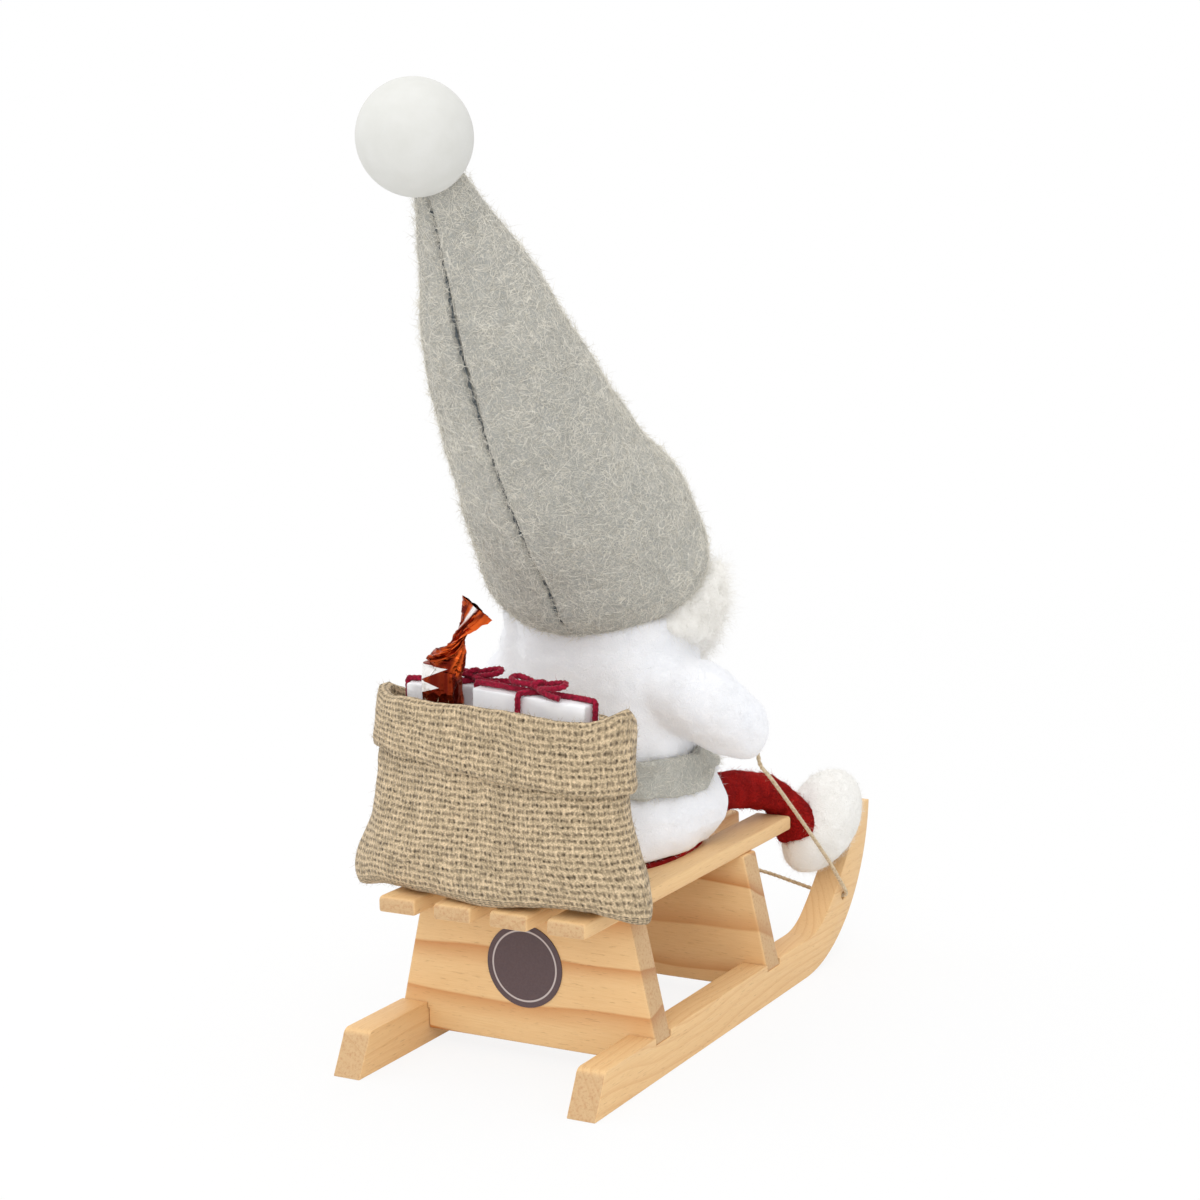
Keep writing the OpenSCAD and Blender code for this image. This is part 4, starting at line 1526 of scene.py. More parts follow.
    def belt(self) -> None:
        """Ties the felt belt."""
        belt = soft_copy("belt", "belt_felt", levels=2)
        place = read(belt)
        place[:, 2] += 0.35 * ripple(place * (1.0, 1.0, 0.0), size=22.0, seed=17)
        front = ramp(place[:, 1], self.belt_front, -8)
        place[:, 2] += self.belt_rise * front * ramp(abs(place[:, 0]), 0, 10)
        place[:, 0] *= 1 - self.belt_draw * front
        move(belt, place)
        swell(belt, 0.12 * ripple(place, size=5.0, seed=8))
        settle(belt, Body.SLED, Slot.GREY_FELT, BELT_FELT, "belt")
        hairs = Fluff(
            count=7000, length=2.2, lift=0.12, width=0.08, steps=3, cling=0.05, seed=13
        )
        settle(hairs.grow("belt_hairs", belt), Body.SLED, Slot.GREY_FELT, WISPS)

    def leg(self, side: Side) -> None:
        """Stuffs a leg and its boot.

        Args:
            side: The leg's side.
        """
        word, body = side.word, Body(f"{side.word}_leg")
        leg = even_copy(f"{word}_leg", f"{word}_leg_felt", voxel=0.6, rounds=4)
        place = read(leg)
        place[:, 2] -= self.knee_sag * bell(place[:, 1] - (self.knee_y - MID_Y), 9.0)
        shin = ramp(place[:, 1], self.shin_y, -7)
        place[:, 1] += self.shin_back * shin
        place[:, 2] += np.interp(place[:, 2], *self.shin_bend) * shin
        move(leg, place)
        ends = ramp(place[:, 1], self.hip_y, 2) + ramp(place[:, 2], self.ankle_z, -2)
        Stuffing(grow=0.04, cap=0.3).fill(leg, np.clip(ends, 0, 1))
        swell(leg, 0.08 * ripple(read(leg), size=3.0, seed=50) - self.leg_shrink)
        settle(leg, body, Slot.RED_FELT, RED_FELT, f"{word}_leg")
        boot = even_copy(f"{word}_boot", f"{word}_boot_felt", voxel=0.6, rounds=8, filled=True)
        place = read(boot)
        middle = (place[:, 0].min() + place[:, 0].max()) / 2
        toe = np.array((middle, place[:, 1].min(), 0.0))
        move(boot, (place - toe) * self.boot_scale + toe - (0.0, 0.0, self.boot_sink))
        swell(boot, self.boot_swell + 0.06 * ripple(read(boot), size=4.0, seed=51))
        settle(boot, body, Slot.WHITE_FELT, BOOT_FELT, f"{word}_boot")
        red = Fluff(
            count=6000, length=1.5, lift=0.25, width=0.06, steps=3, cling=0.08, seed=30 + side.value
        )
        settle(red.grow(f"{word}_leg_hairs", leg), body, Slot.RED_FELT, RED_WISPS_HIGHLIGHT)
        white = Fluff(count=5200, length=1.5, lift=0.4, seed=40 + side.value)
        settle(white.grow(f"{word}_boot_hairs", boot), body, Slot.WHITE_FELT, BOOT_FELT)


@dataclass
class Head:
    """The wooden head with its plain face, the beard, and the hat with its ball."""

    centre: tuple[float, float, float] = (0.0, 31.5 - MID_Y, 79.0)
    ball_at: tuple[float, float, float] = (0.0, 90.3 - MID_Y, 157.0)
    ball_d: float = 18.2
    hat_t: float = 1.4
    # Middle y and z, radius and lean of the hat's sections from rim to tip
    hat_rows: tuple[tuple[float, float, float, float], ...] = (
        (31.5, 80.2, 18.2, 22.0),
        (34.7, 84.8, 20.0, 23.0),
        (40.9, 93.8, 19.2, 34.0),
        (51.3, 103.2, 16.5, 37.0),
        (59.4, 113.5, 14.7, 38.0),
        (66.7, 123.2, 12.4, 38.0),
        (72.9, 133.2, 10.3, 38.0),
        (78.7, 142.2, 6.5, 38.0),
        (84.3, 150.4, 4.0, 41.0),
        (86.6, 153.2, 2.6, 41.0),
    )
    # About how far apart those sections are
    hat_step: float = 11.0
    # How far the hat's grid is crowded towards the seam, as a share of a turn
    crowd: float = 0.135
    stitch: float = 2.9
    seam_turn: float = 7.0
    pucker: float = 0.35
    # The seam: depth and width of its groove, and height, place and width of the rolls beside it
    groove: tuple[float, float] = (0.8, 0.45)
    rolls: tuple[float, float, float] = (0.22, 1.5, 1.0)
    # Heights on the beard, and how far each is narrowed
    beard_taper: tuple[tuple[float, ...], tuple[float, ...]] = (
        (62.0, 70.0, 78.0, 84.0),
        (0.66, 0.8, 0.92, 1.0),
    )
    whisker_at: tuple[float, float, float] = (14.7, 28.6 - MID_Y, 73.2)
    whisker_size: tuple[float, float, float] = (3.3, 9.5, 3.7)
    whisker_rise: float = 0.2

    def build(self) -> None:
        """Makes the head from the face out."""
        self.face()
        self.beard()
        self.hat()
        self.ball()

    def face(self) -> None:
        """Carries over the wooden head, its plain face and the dowel under it."""
        for node in ("neck_dowel", "nose_bead", "eye_beads", "head"):
            keep(node, BLACK if node == "eye_beads" else SKIN_WOOD)

    def beard(self) -> None:
        """Teases the wool out into a loose tuft."""
        core = cad_copy("beard", "beard_core")
        place = read(core)
        place[:, 0] *= np.interp(place[:, 2], *self.beard_taper)
        move(core, place)
        core = joined("beard_core", [core, *(self.whisker(side) for side in Side)])
        even_out(core, voxel=0.8, rounds=6)
        swell(smooth(core), -0.2 + 0.25 * ripple(read(core), size=5.0, seed=6))
        settle(core, Body.SLED, Slot.WOOL, WOOL, "beard")

        def outside(root: Points, normal: Points) -> Points:
            """Says which roots face away from the head."""
            return np.einsum("ij,ij->i", normal, root - self.centre) > 0.2

        tuft = Fluff(
            count=20000, length=4.4, lift=0.5, width=0.05, steps=4, curl=0.5, fall=0.05, seed=7
        )
        settle(tuft.grow("beard_wool", core, outside), Body.SLED, Slot.WOOL, WOOL)

    def whisker(self, side: Side) -> Piece:
        """Rolls the wool that runs from the beard back along the collar.

        Args:
            side: The roll's side.

        Returns:
            The roll.
        """
        x, y, z = self.whisker_at
        roll = ellipsoid((side.value * x, y, z), self.whisker_size)
        place = read(roll)
        place[:, 2] += self.whisker_rise * (place[:, 1] - y)
        move(roll, place)
        return roll

    def skin(self, u: Points, v: Points) -> Points:
        """Places the hat's felt.

        Args:
            u: The way round from the back seam, 0 to 1.
            v: The way from inside the rim round its edge to the tip, 0 to 1.

        Returns:
            The places in millimetres.
        """
        turn = u - self.crowd * np.sin(2 * math.pi * u)
        last = len(self.hat_rows) - 1
        level = np.interp(v, (0.0, 0.05, 0.075, 0.96, 0.99), (0.45, 0.02, 0.0, last - 1, last))
        twist = math.radians(self.seam_turn) * (1 - level / last)
        angle = math.pi / 2 + 2 * math.pi * turn + twist
        edge = np.interp(v, (0.0, 0.05, 0.06, 0.07, 0.085), (-1.0, -1.0, -0.7, -0.15, 0.0))
        rows = resample(self.hat_rows, steps=400)
        at = np.linspace(0, last, len(rows))
        row = np.stack([np.interp(level, at, rows[:, k]) for k in range(4)], 1)
        size = (row[:, 2] + edge * self.hat_t) * np.interp(v, (0.99, 1.0), (1.0, 0.0))
        lean = np.radians(row[:, 3])
        away = size * 2 * math.pi * np.minimum(turn, 1 - turn)
        outside = ramp(v, 0.05, 0.03) * ramp(v, 0.97, -0.02)
        pucker = 1 + self.pucker * np.sin(2 * math.pi * level * self.hat_step / self.stitch)
        deep, narrow = self.groove
        high, beside, broad = self.rolls
        seam = -deep * bell(away, narrow) + high * pucker * bell(away - beside, broad)
        size = size + outside * seam
        return np.stack(
            [
                size * np.cos(angle),
                row[:, 0] - MID_Y + size * np.sin(angle) * np.cos(lean),
                row[:, 1] - size * np.sin(angle) * np.sin(lean),
            ],
            1,
        )

    def hat(self) -> None:
        """Sews the hat, with a dark thread down the back seam."""
        hat = grid_piece("hat_felt", self.skin, cells=(150, 240))
        crumple(hat, (0.2, 18.0, 21), (0.02, 3.0, 22))
        settle(hat, Body.SLED, Slot.GREY_FELT, GREY_FELT, "hat")
        down = np.linspace(0.09, 0.93, 420)
        seam = self.skin(np.zeros_like(down), down)
        knots = np.abs(np.sin(math.pi * gone_along(seam) / self.stitch)) ** 6
        outward = unit(np.array((0.0, 0.75, -0.35)))
        path = seam + outward * (0.05 + 0.22 * knots)[:, None]
        thread = tube("hat_seam_thread", path, 0.15 + 0.16 * knots, sides=8)
        settle(thread, Body.SLED, Slot.GREY_FELT, SEAM)
        for number in (1, 2):
            wisps = Fluff(
                count=32000, length=2.8, lift=0.05, width=0.085, steps=3, curl=0.28, cling=0.08,
                seed=22 + number,
            )
            settle(wisps.grow(f"hat_wisps_{number}", hat), Body.SLED, Slot.GREY_FELT, WISPS)
        hairs = Fluff(count=5000, length=0.5, lift=0.25, seed=25)
        settle(hairs.grow("hat_hairs", hat), Body.SLED, Slot.GREY_FELT, WISPS)
        keep("hat_wadding", WADDING)

    def ball(self) -> None:
        """Turns the white ball on the tip."""
        bpy.ops.object.select_all(action="DESELECT")
        bpy.ops.mesh.primitive_uv_sphere_add(
            segments=96, ring_count=64, radius=self.ball_d / 2 * MM,
            location=Vector(self.ball_at) * MM,
        )
        ball = bpy.context.object
        ball.name = ball.data.name = "hat_ball_white"
        bpy.ops.object.transform_apply(location=True, rotation=False, scale=False)
        settle(smooth(ball), Body.SLED, Slot.WHITE_BALL, BALL, "hat_ball")


@dataclass
class Sack:
    """The burlap bag with its folded cuff."""

    turn: float = -4.0
    middle_y: float = 68.0 - MID_Y
    rim: float = 65.9
    cuff_h: float = 11.7
    cuff_tilt: float = 0.09
    # How far under the cuff its sides run straight, and how far under the rim the bag's skin ends
    cuff_straight: float = 2.6
    bag_end: float = 4.0
    cloth: float = 1.0
    pitch: tuple[float, float] = (0.9, 1.2)
    cloth_round: float = 118.0
    bag_up: float = 41.9
    cuff_up: float = 25.8
    slat_edge: float = 20.5
    # How square the bag's section is each way, and the half sizes that its threads are counted on
    square: tuple[float, float] = (4.0, 1.6)
    counted: tuple[float, float] = (27.0, 9.5)
    filling: tuple[float, float, float] = (0.84, 0.9, 1.0)
    # The foot: how high it is rounded, and the height below which its corners hang
    foot_round: float = 2.1
    foot_z: float = 43.0
    # How far the foot's corners hang and the mouth's corners stand up, on the right and the left
    foot_hang: tuple[float, float] = (-2.6, -1.7)
    mouth_ears: tuple[float, float] = (2.0, 0.6)
    # From this far out the mouth's corners begin, and how far they spread
    ear_x: float = 20.0
    ear_out: float = 0.7
    # The mouth: its depth, its slope to the right and the dip of its front
    mouth_depth: float = 11.0
    mouth_slope: float = 0.08
    mouth_dip: float = 2.6
    # Middle x, height, half width and half depth from foot to mouth
    rows: tuple[tuple[float, float, float, float], ...] = (
        (1.4, 31.0, 24.0, 2.4),
        (1.4, 31.3, 25.4, 3.6),
        (1.4, 31.7, 28.6, 6.6),
        (1.5, 32.5, 30.0, 8.2),
        (1.6, 35.6, 29.6, 9.1),
        (1.6, 41.15, 27.4, 9.5),
        (1.2, 47.0, 26.0, 9.5),
        (0.2, 56.9, 24.5, 9.5),
        (-0.2, 65.9, 23.7, 9.5),
    )

    def placed(self, local: Points) -> Points:
        """Turns points from the sack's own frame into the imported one."""
        c, s = math.cos(math.radians(self.turn)), math.sin(math.radians(self.turn))
        return local @ np.array(((c, s, 0), (-s, c, 0), (0, 0, 1))) + (0, self.middle_y, 0)

    @staticmethod
    def power(value: Points, square: float) -> Points:
        """Squares off a circle's sine or cosine."""
        return np.sign(value) * np.abs(value) ** (2 / square)

    def ring(self, u: Points, z: Points, out: Points) -> Points:
        """Gives places round the bag in the sack's own frame.

        Args:
            u: The way round from the middle of the front, 0 to 1.
            z: The height in millimetres.
            out: How far outside the bag's skin.

        Returns:
            The places in millimetres.
        """
        table = resample(self.rows, steps=120)
        low = table[table[:, 1] < self.rim - self.cuff_h - self.cuff_straight]
        table = np.concatenate([low, [self.rows[-1]]])
        row = np.stack([np.interp(z, table[:, 1], table[:, k]) for k in (0, 2, 3)], 1)
        turn = np.linspace(0, 2 * math.pi, 1441) - math.pi / 2
        wide = self.power(np.cos(turn), self.square[0])
        deep = self.power(np.sin(turn), self.square[1])
        steps = np.diff(np.stack([wide, deep], 1) * self.counted, axis=0)
        gone = np.linalg.norm(steps, axis=1)
        gone = np.concatenate([[0], np.cumsum(gone)]) / gone.sum()
        wide, deep = np.interp(u, gone, wide), np.interp(u, gone, deep)
        return np.stack([row[:, 0] + (row[:, 1] + out) * wide, (row[:, 2] + out) * deep, z], 1)

    def slump(self, local: Points) -> Points:
        """Lets the mouth's right half sink, and the foot's corners curl beyond the slats.

        Args:
            local: The places in the sack's own frame, which are changed.

        Returns:
            The same places, slumped.
        """
        x, z = local[:, 0].copy(), local[:, 2].copy()
        foot = ramp(z, self.foot_z, -11) ** 1.5
        mouth = ramp(z, self.rim - self.mouth_depth, 9)
        over = ramp(abs(x), self.slat_edge, 9) ** 1.4
        hang = foot * np.where(x < 0, *self.foot_hang) * over
        local[:, 2] += hang + mouth * self.mouth_slope * np.minimum(x, 0)
        corner = ramp(abs(x), self.ear_x, 4) ** 2
        dip = self.mouth_dip * ramp(local[:, 1], 0, -5)
        local[:, 2] += mouth**3 * (corner * np.where(x < 0, *self.mouth_ears) - dip)
        local[:, 0] += mouth**3 * corner * self.ear_out * np.sign(x)
        return local

    def bag(self, u: Points, v: Points) -> Points:
        """Places the bag's outside.

        Args:
            u: The way round, 0 to 1.
            v: The way from the middle of the foot to under the cuff, 0 to 1.

        Returns:
            The places in millimetres.
        """
        low = self.rows[0][1]
        heights = (low, low, low + self.foot_round, self.rim - self.bag_end)
        z = np.interp(v, (0.0, 0.1, 0.3, 1.0), heights)
        local = self.ring(u, z, np.zeros_like(z))
        local[:, :2] *= np.interp(v, (0.0, 0.1), (0.0, 1.0))[:, None]
        return self.placed(self.slump(local))

    def cuff(self, u: Points, v: Points) -> Points:
        """Places the cuff's skin.

        Args:
            u: The way round, 0 to 1.
            v: The way from inside the mouth over the rim to the turned edge, 0 to 1.

        Returns:
            The places in millimetres.
        """
        top, low = self.rim, self.rim - self.cuff_h
        heights = (top - self.mouth_depth, top - 0.6, top, top - 0.6, low, low + 0.6)
        z = np.interp(v, (0.0, 0.42, 0.47, 0.52, 0.95, 1.0), heights)
        reaches = (-0.9, -0.9, 0.1, 1.0, 1.1, 0.9, 0.2)
        out = np.interp(v, (0.0, 0.42, 0.47, 0.52, 0.9, 0.95, 1.0), reaches)
        local = self.ring(u, z, out * self.cloth)
        local[:, 2] += ramp(v, 0.5, 0.4) * self.cuff_tilt * local[:, 0]
        return self.placed(self.slump(local))

    def build(self) -> None:
        """Sews the bag, folds its cuff, frays the cloth and fills it."""
        around = 2 * round(self.cloth_round / self.pitch[0] / 2)
        threads = (around, self.bag_up / self.pitch[1])
        bag = grid_piece("sack_bag", self.bag, cells=(240, 100), threads=threads)
        crumple(bag, (0.3, 18.0, 31), (0.05, 5.0, 32))
        settle(bag, Body.SLED, Slot.BURLAP, BURLAP, "sack")
        threads = (around, self.cuff_up / self.pitch[1])
        cuff = grid_piece("sack_cuff", self.cuff, cells=(240, 80), threads=threads)
        crumple(cuff, (0.14, 10.0, 33), (0.03, 3.0, 34))
        settle(cuff, Body.SLED, Slot.BURLAP, BURLAP)
        for name, host, count, seed in (
            ("sack_hairs", bag, 4500, 35),
            ("cuff_hairs", cuff, 4000, 36),
        ):
            hairs = Fluff(count, length=1.2, lift=0.5, width=0.05, seed=seed)
            settle(hairs.grow(name, host), Body.SLED, Slot.BURLAP, FRAY)
        filling = even_copy("sack_wadding", "sack_filling", voxel=0.9, rounds=3)
        middle = (0, self.middle_y, 0)
        move(filling, (read(filling) - middle) * self.filling + middle)
        settle(filling, Body.SLED, Slot.WADDING, WADDING, "sack_wadding")


@dataclass
class Parcel:
    """A block wrapped in white paper and tied with crimson yarn."""

    side: Side
    sack: Sack
    length: float
    at: tuple[float, float]
    turn: float
    tip: float
    tie: float
    floor: float = 48.1
    thick: float = 5.0
    height: float = 18.6
    edge: float = 0.45
    yarn_r: float = 0.55
    yarn_pitch: float = 2.6
    # How far the yarn's middle stands off the paper, under the block and at the bow
    stand: float = 0.45
    under: float = 0.5
    bow_up: float = 0.5
    # How uneven the paper is, and how far it lies inside the block's size
    uneven: float = 0.1
    inside: float = 0.12
    seed: int = 60

    def placed(self, local: Points) -> Points:
        """Turns points from the parcel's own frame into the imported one.

        Args:
            local: The points in the parcel's own frame.

        Returns:
            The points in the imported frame.
        """
        a, t = math.radians(self.turn), math.radians(self.tip)
        tip = np.array(((math.cos(t), 0, math.sin(t)), (0, 1, 0), (-math.sin(t), 0, math.cos(t))))
        turn = np.array(((math.cos(a), math.sin(a), 0), (-math.sin(a), math.cos(a), 0), (0, 0, 1)))
        lift = self.floor + self.length / 2 * math.sin(t)
        return self.sack.placed(local @ tip @ turn + (*self.at, lift))

    def build(self) -> None:
        """Wraps and ties the parcel."""
        word = self.side.word
        body = Body(f"{word}_present")
        settle(self.block(f"{word}_parcel_paper"), body, Slot.PAPER, PAPER, f"{word}_parcel")
        yarn = joined(f"{word}_yarn_bow", [self.strand(path) for path in self.ties()])
        settle(yarn, body, Slot.YARN, CRIMSON, f"{word}_yarn")
        hairs = Fluff(count=900, length=0.9, lift=0.9, width=0.035, seed=self.seed)
        settle(hairs.grow(f"{word}_yarn_hairs", yarn), body, Slot.YARN, CRIMSON)

    def block(self, name: str) -> Piece:
        """Folds the paper round the block.

        Args:
            name: The piece's name.

        Returns:
            The wrapped block.
        """
        bpy.ops.object.select_all(action="DESELECT")
        bpy.ops.mesh.primitive_cube_add(size=MM)
        block = bpy.context.object
        block.name = block.data.name = name
        bpy.ops.transform.resize(value=(self.length, self.thick, self.height))
        bpy.ops.transform.translate(value=(0, 0, self.height / 2 * MM))
        bpy.ops.object.transform_apply()
        work(block, "BEVEL", width=self.edge * MM, segments=3)
        with editing(block):
            bpy.ops.mesh.subdivide(number_cuts=14)
        swell(block, self.uneven * ripple(read(block), size=7.0, seed=self.seed) - self.inside)
        move(block, self.placed(read(block)))
        return smooth(block, angle=50)

    def strand(self, path: Route) -> Piece:
        """Spins one length of yarn along a route in the parcel's own frame."""
        line = self.placed(resample(path, steps=40 * (len(path) - 1) // 3))
        return tube("strand", line, self.yarn_r, sides=12, plies=3, pitch=self.yarn_pitch)

    def ties(self) -> list[Route]:
        """Gives the yarn's way round the block and in the bow on top.

        Returns:
            The routes of the yarn's lengths in the parcel's own frame.
        """
        x, y = self.length / 2 + self.stand, self.thick / 2 + self.stand
        z, t = self.height + self.stand, self.tie
        low, bow = -self.under, z + self.bow_up
        along = [
            (t, 0, z), (t + 4, 0.3, z), (x - 1, 0.2, z), (x - 0.1, 0.2, z - 0.4), (x, 0.2, z - 2),
            (x, 0.2, 9), (x, 0.1, 1), (x - 0.5, 0, low), (0, 0, low), (0.5 - x, 0, low), (-x, 0, 1),
            (-x, 0, 9), (-x, -0.1, z - 2), (0.1 - x, -0.1, z - 0.4), (1 - x, -0.1, z),
            (t - 4, -0.2, z), (t, 0, z),
        ]
        across = [
            (t, 0, z), (t + 1.7, y - 0.6, z), (t + 2.2, y - 0.05, z - 0.4), (t + 2.3, y, z - 2),
            (t + 2, y, 9), (t + 0.8, y, 1), (t, y - 0.5, low), (t, 0, low), (t, 0.5 - y, low),
            (t, -y, 1), (t, -y, 9), (t, -y, z - 2), (t, 0.05 - y, z - 0.4), (t, 0.6 - y, z),
            (t, 0, z),
        ]
        # The bow's two loops, two tails and knot, from where the yarn crosses on top
        bows = [
            [(0, 0.3, 0), (-1.5, 1.4, 0.5), (-3.8, 2.0, 0.9), (-5.4, 1.2, 1.3), (-5.0, -0.2, 1.6),
             (-2.8, -0.4, 1.3), (0, 0.2, 0.6)],
            [(0, 0.3, 0.2), (1.6, 1.3, 0.9), (3.8, 1.7, 1.0), (5.2, 0.7, 1.3), (4.6, -0.6, 1.5),
             (2.4, -0.5, 1.2), (0, 0.1, 0.7)],
            [(0, 0.3, 0.4), (-1.6, 1.9, 0.2), (-3.6, 2.4, -0.2), (-5.6, 2.5, -0.4)],
            [(0, 0.1, 0.4), (1.4, -1.4, 0.6), (3.2, -1.9, 0.2), (4.8, -1.9, -0.2)],
            [(0.8, -0.5, -0.1), (0.9, 0.7, 0.5), (0.2, 1.2, 1.1), (-0.7, 0.6, 1.4),
             (-0.8, -0.5, 0.9), (0, -0.8, 0.2), (0.8, 0.2, 0.4), (0.3, 1.2, 0.8), (-0.7, 1.1, 0.2)],
        ]
        return [along, across, *([(t + i, j, bow + k) for i, j, k in path] for path in bows)]


@dataclass
class Sweet:
    """A chocolate bar in coppery foil, twisted to a fan above."""

    sack: Sack
    at: tuple[float, float] = (9.7, 4.1)
    floor: float = 46.95
    # The bar is drawn in to stay inside the foil
    bar_scale: tuple[float, float, float] = (1.0, 1.0, 0.88)
    # How many sharp and how many broad pleats lie round the fan
    folds: tuple[int, int] = (9, 4)
    # Offset across and back, height, half width, half thickness, squareness, roll and pleats
    rows: tuple[tuple[float, ...], ...] = (
        (0.0, 0.0, 0.0, 3.3, 1.8, 5.0, 0.0, 0.0),
        (0.0, 0.0, 0.5, 3.6, 2.0, 6.0, 0.0, 0.0),
        (0.0, 0.0, 12.0, 3.4, 2.0, 6.0, 0.0, 0.0),
        (0.0, 0.0, 22.6, 3.3, 1.9, 6.0, 0.0, 0.02),
        (-0.4, 0.05, 23.6, 3.2, 1.85, 5.0, 3.0, 0.05),
        (-1.3, 0.2, 24.6, 2.8, 1.7, 3.5, 12.0, 0.1),
        (-2.7, 0.5, 26.2, 2.0, 1.4, 2.6, 35.0, 0.18),
        (-3.8, 0.8, 27.8, 1.2, 1.05, 2.2, 70.0, 0.25),
        (-4.7, 1.1, 29.3, 0.85, 0.8, 2.0, 110.0, 0.28),
        (-6.0, 1.6, 31.0, 1.1, 0.7, 2.0, 145.0, 0.3),
        (-8.0, 2.3, 33.1, 1.7, 0.65, 2.0, 170.0, 0.3),
        (-9.9, 3.0, 34.9, 2.2, 0.15, 2.0, 182.0, 0.35),
    )

    def skin(self, u: Points, v: Points) -> Points:
        """Places the foil round the bar and up into the fan.

        Args:
            u: The way round, 0 to 1.
            v: The way from the foot to the fan's edge, 0 to 1.

        Returns:
            The places in millimetres.
        """
        table = resample(self.rows, steps=300)
        ahead = unit(np.gradient(table[:, :3], axis=0))
        across = unit(np.array((1.0, 0.0, 0.0)) - ahead * ahead[:, :1])
        table = np.concatenate([table, across, np.cross(ahead, across)], 1)
        row = np.stack([np.interp(v, np.linspace(0, 1, 301), column) for column in table.T], 1)
        angle = 2 * math.pi * u
        square, pleats = row[:, 5], row[:, 7]
        many, few = self.folds
        pleat = 1 + pleats * np.cos(many * angle + 1.3) + 0.5 * pleats * np.cos(few * angle)
        x = row[:, 3] * Sack.power(np.cos(angle), square) * pleat
        y = row[:, 4] * Sack.power(np.sin(angle), square) * pleat
        roll = np.radians(row[:, 6])
        along = (x * np.cos(roll) - y * np.sin(roll))[:, None] * row[:, 8:11]
        depth = (x * np.sin(roll) + y * np.cos(roll))[:, None] * row[:, 11:14]
        return self.sack.placed(row[:, :3] + along + depth + (*self.at, self.floor))

    def build(self) -> None:
        """Wraps the bar and crumples the foil."""
        bar = eased_copy("sweet_bar", "sweet_chocolate", ease=0.3)
        low = (0.0, 0.0, self.floor)
        move(bar, (read(bar) - low) * self.bar_scale + low)
        settle(bar, Body.SWEET, Slot.CHOCOLATE, CHOCOLATE, "sweet_bar")
        foil = grid_piece("sweet_foil", self.skin, cells=(44, 70))
        crumple(foil, (0.07, 2.2, 71), (0.05, 1.1, 72))
        pick(foil)
        bpy.ops.object.shade_flat()
        settle(foil, Body.SWEET, Slot.FOIL, FOIL, "sweet_wrapper")


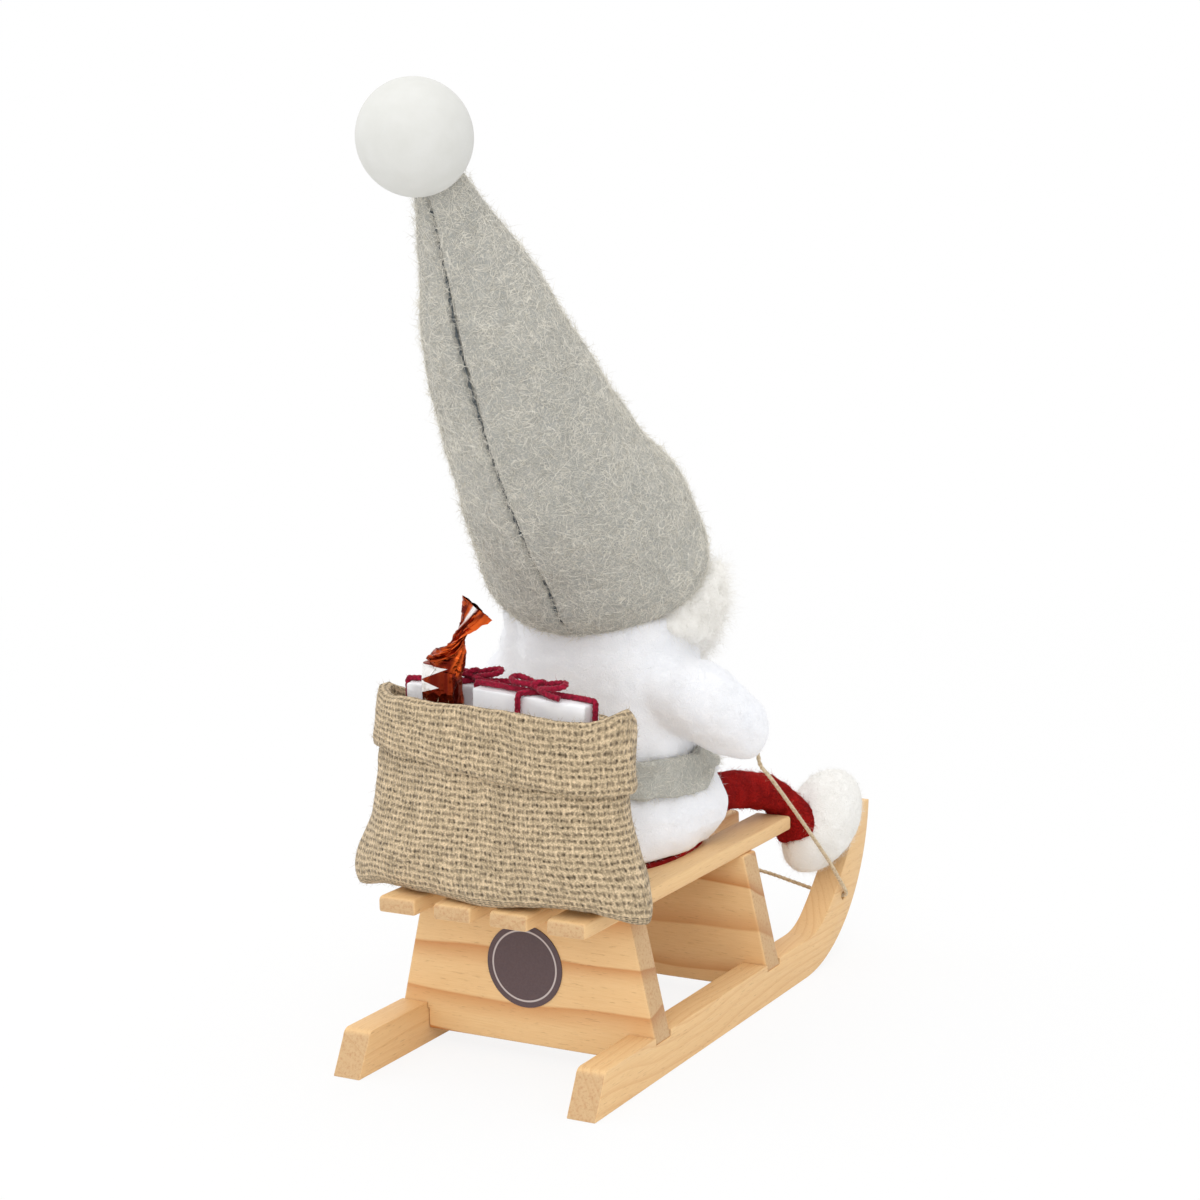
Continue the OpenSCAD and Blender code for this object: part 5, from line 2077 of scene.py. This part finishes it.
@dataclass
class Studio:
    """A pale floor, soft light and the camera."""

    position: tuple[float, float, float] = (-200.1, 360.0, 138.6)
    azimuth: float = 206.921
    elevation: float = 9.985
    roll: float = -0.510
    lens: float = 68.97
    shift: tuple[float, float] = (-0.0716, 0.0510)
    # The floor in metres: its size, its height and the distances between which it turns plain
    floor_size: float = 30.0
    floor_z: float = -0.00005
    fade: tuple[float, float] = (0.08, 0.6)
    # Its tone, and how plain it is near the object and far off
    floor_tone: Colour = (0.86, 0.86, 0.86, 1.0)
    plain: tuple[float, float] = (0.86, 1.0)
    sky: float = 0.93
    # Name, place, size and power of each lamp, in metres and watts, and where they aim
    lamps: tuple[tuple[str, tuple[float, float, float], float, float], ...] = (
        ("key", (-0.3, 0.8, 0.65), 0.7, 2.3),
        ("top", (0.0, 0.1, 1.1), 0.9, 2.0),
        ("side", (0.8, 0.1, 0.5), 0.6, 0.8),
    )
    aim: tuple[float, float, float] = (0.0, 0.0, 0.07)

    def build(self) -> None:
        """Sets up the picture."""
        self.camera()
        self.floor()
        self.lights()
        bpy.context.scene.view_settings.view_transform = "Standard"

    def camera(self) -> None:
        """Puts the camera where the photograph was taken from."""
        data = bpy.data.cameras.new("camera")
        data.lens = self.lens
        data.sensor_width = 36.0
        data.shift_x, data.shift_y = self.shift
        data.clip_start, data.clip_end = 0.01, 20.0
        camera = bring("camera", data)
        az, el = math.radians(self.azimuth), math.radians(self.elevation)
        ahead = Vector((-math.sin(az) * math.cos(el), math.cos(az) * math.cos(el), -math.sin(el)))
        right = ahead.cross(Vector((0, 0, 1))).normalized()
        up = right.cross(ahead)
        turn = Matrix((right, up, -ahead)).transposed().to_4x4()
        roll = Matrix.Rotation(math.radians(self.roll), 4, "Z")
        camera.matrix_world = Matrix.Translation(Vector(self.position) * MM) @ turn @ roll
        bpy.context.scene.camera = camera

    def floor(self) -> None:
        """Lays a pale floor that keeps a faint shadow."""
        bpy.ops.object.select_all(action="DESELECT")
        bpy.ops.mesh.primitive_plane_add(size=self.floor_size, location=(0, 0, self.floor_z))
        floor = bpy.context.object
        floor.name = "floor"
        made = bpy.data.materials.new("floor")
        g = Graph.blank(made)
        matt = g.add("BsdfDiffuse", {"Color": self.floor_tone})
        white = g.add("Emission", {"Color": WHITE, "Strength": 1.0})
        reach = g.vector("LENGTH", g.add("TexCoord").outputs["Object"])
        share = g.math("MULTIPLY", g.seen(), g.span(reach, *self.fade, *self.plain))
        surface = g.add("MixShader", {0: share, 1: matt.outputs[0], 2: white.outputs[0]})
        g.add("OutputMaterial", {"Surface": surface.outputs[0]})
        floor.data.materials.append(made)

    def lights(self) -> None:
        """Hangs soft lights round the object under a white sky."""
        world = bpy.data.worlds.new("studio")
        bpy.context.scene.world = world
        g = Graph.blank(world)
        strength = g.math("MULTIPLY_ADD", g.seen(), 1 - self.sky, self.sky)
        sky = g.add("Background", {"Color": WHITE, "Strength": strength})
        g.add("OutputWorld", {"Surface": sky.outputs[0]})
        for name, place, size, power in self.lamps:
            data = bpy.data.lights.new(name, "AREA")
            data.size = size
            data.energy = power
            lamp = bring(name, data)
            lamp.location = place
            way = Vector(self.aim) - Vector(place)
            lamp.rotation_euler = way.to_track_quat("-Z", "Y").to_euler()


def main() -> None:
    """Builds the picture piece by piece."""
    logging.basicConfig(level=logging.INFO, format="%(message)s")
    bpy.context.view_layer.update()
    Studio().build()
    sack = Sack()
    left = Parcel(Side.LEFT, sack, 19.0, (10.9, -3.1), 15.0, 0.0, tie=-2.0, seed=61)
    right = Parcel(Side.RIGHT, sack, 22.8, (-7.2, 2.4), 0.0, 3.0, tie=-0.8, seed=62)
    for assembly in (Rein(), Sled(), Figure(), Head(), sack, left, right, Sweet(sack)):
        assembly.build()
        LOG.info("%s done", type(assembly).__name__)


if __name__ == "__main__":
    main()
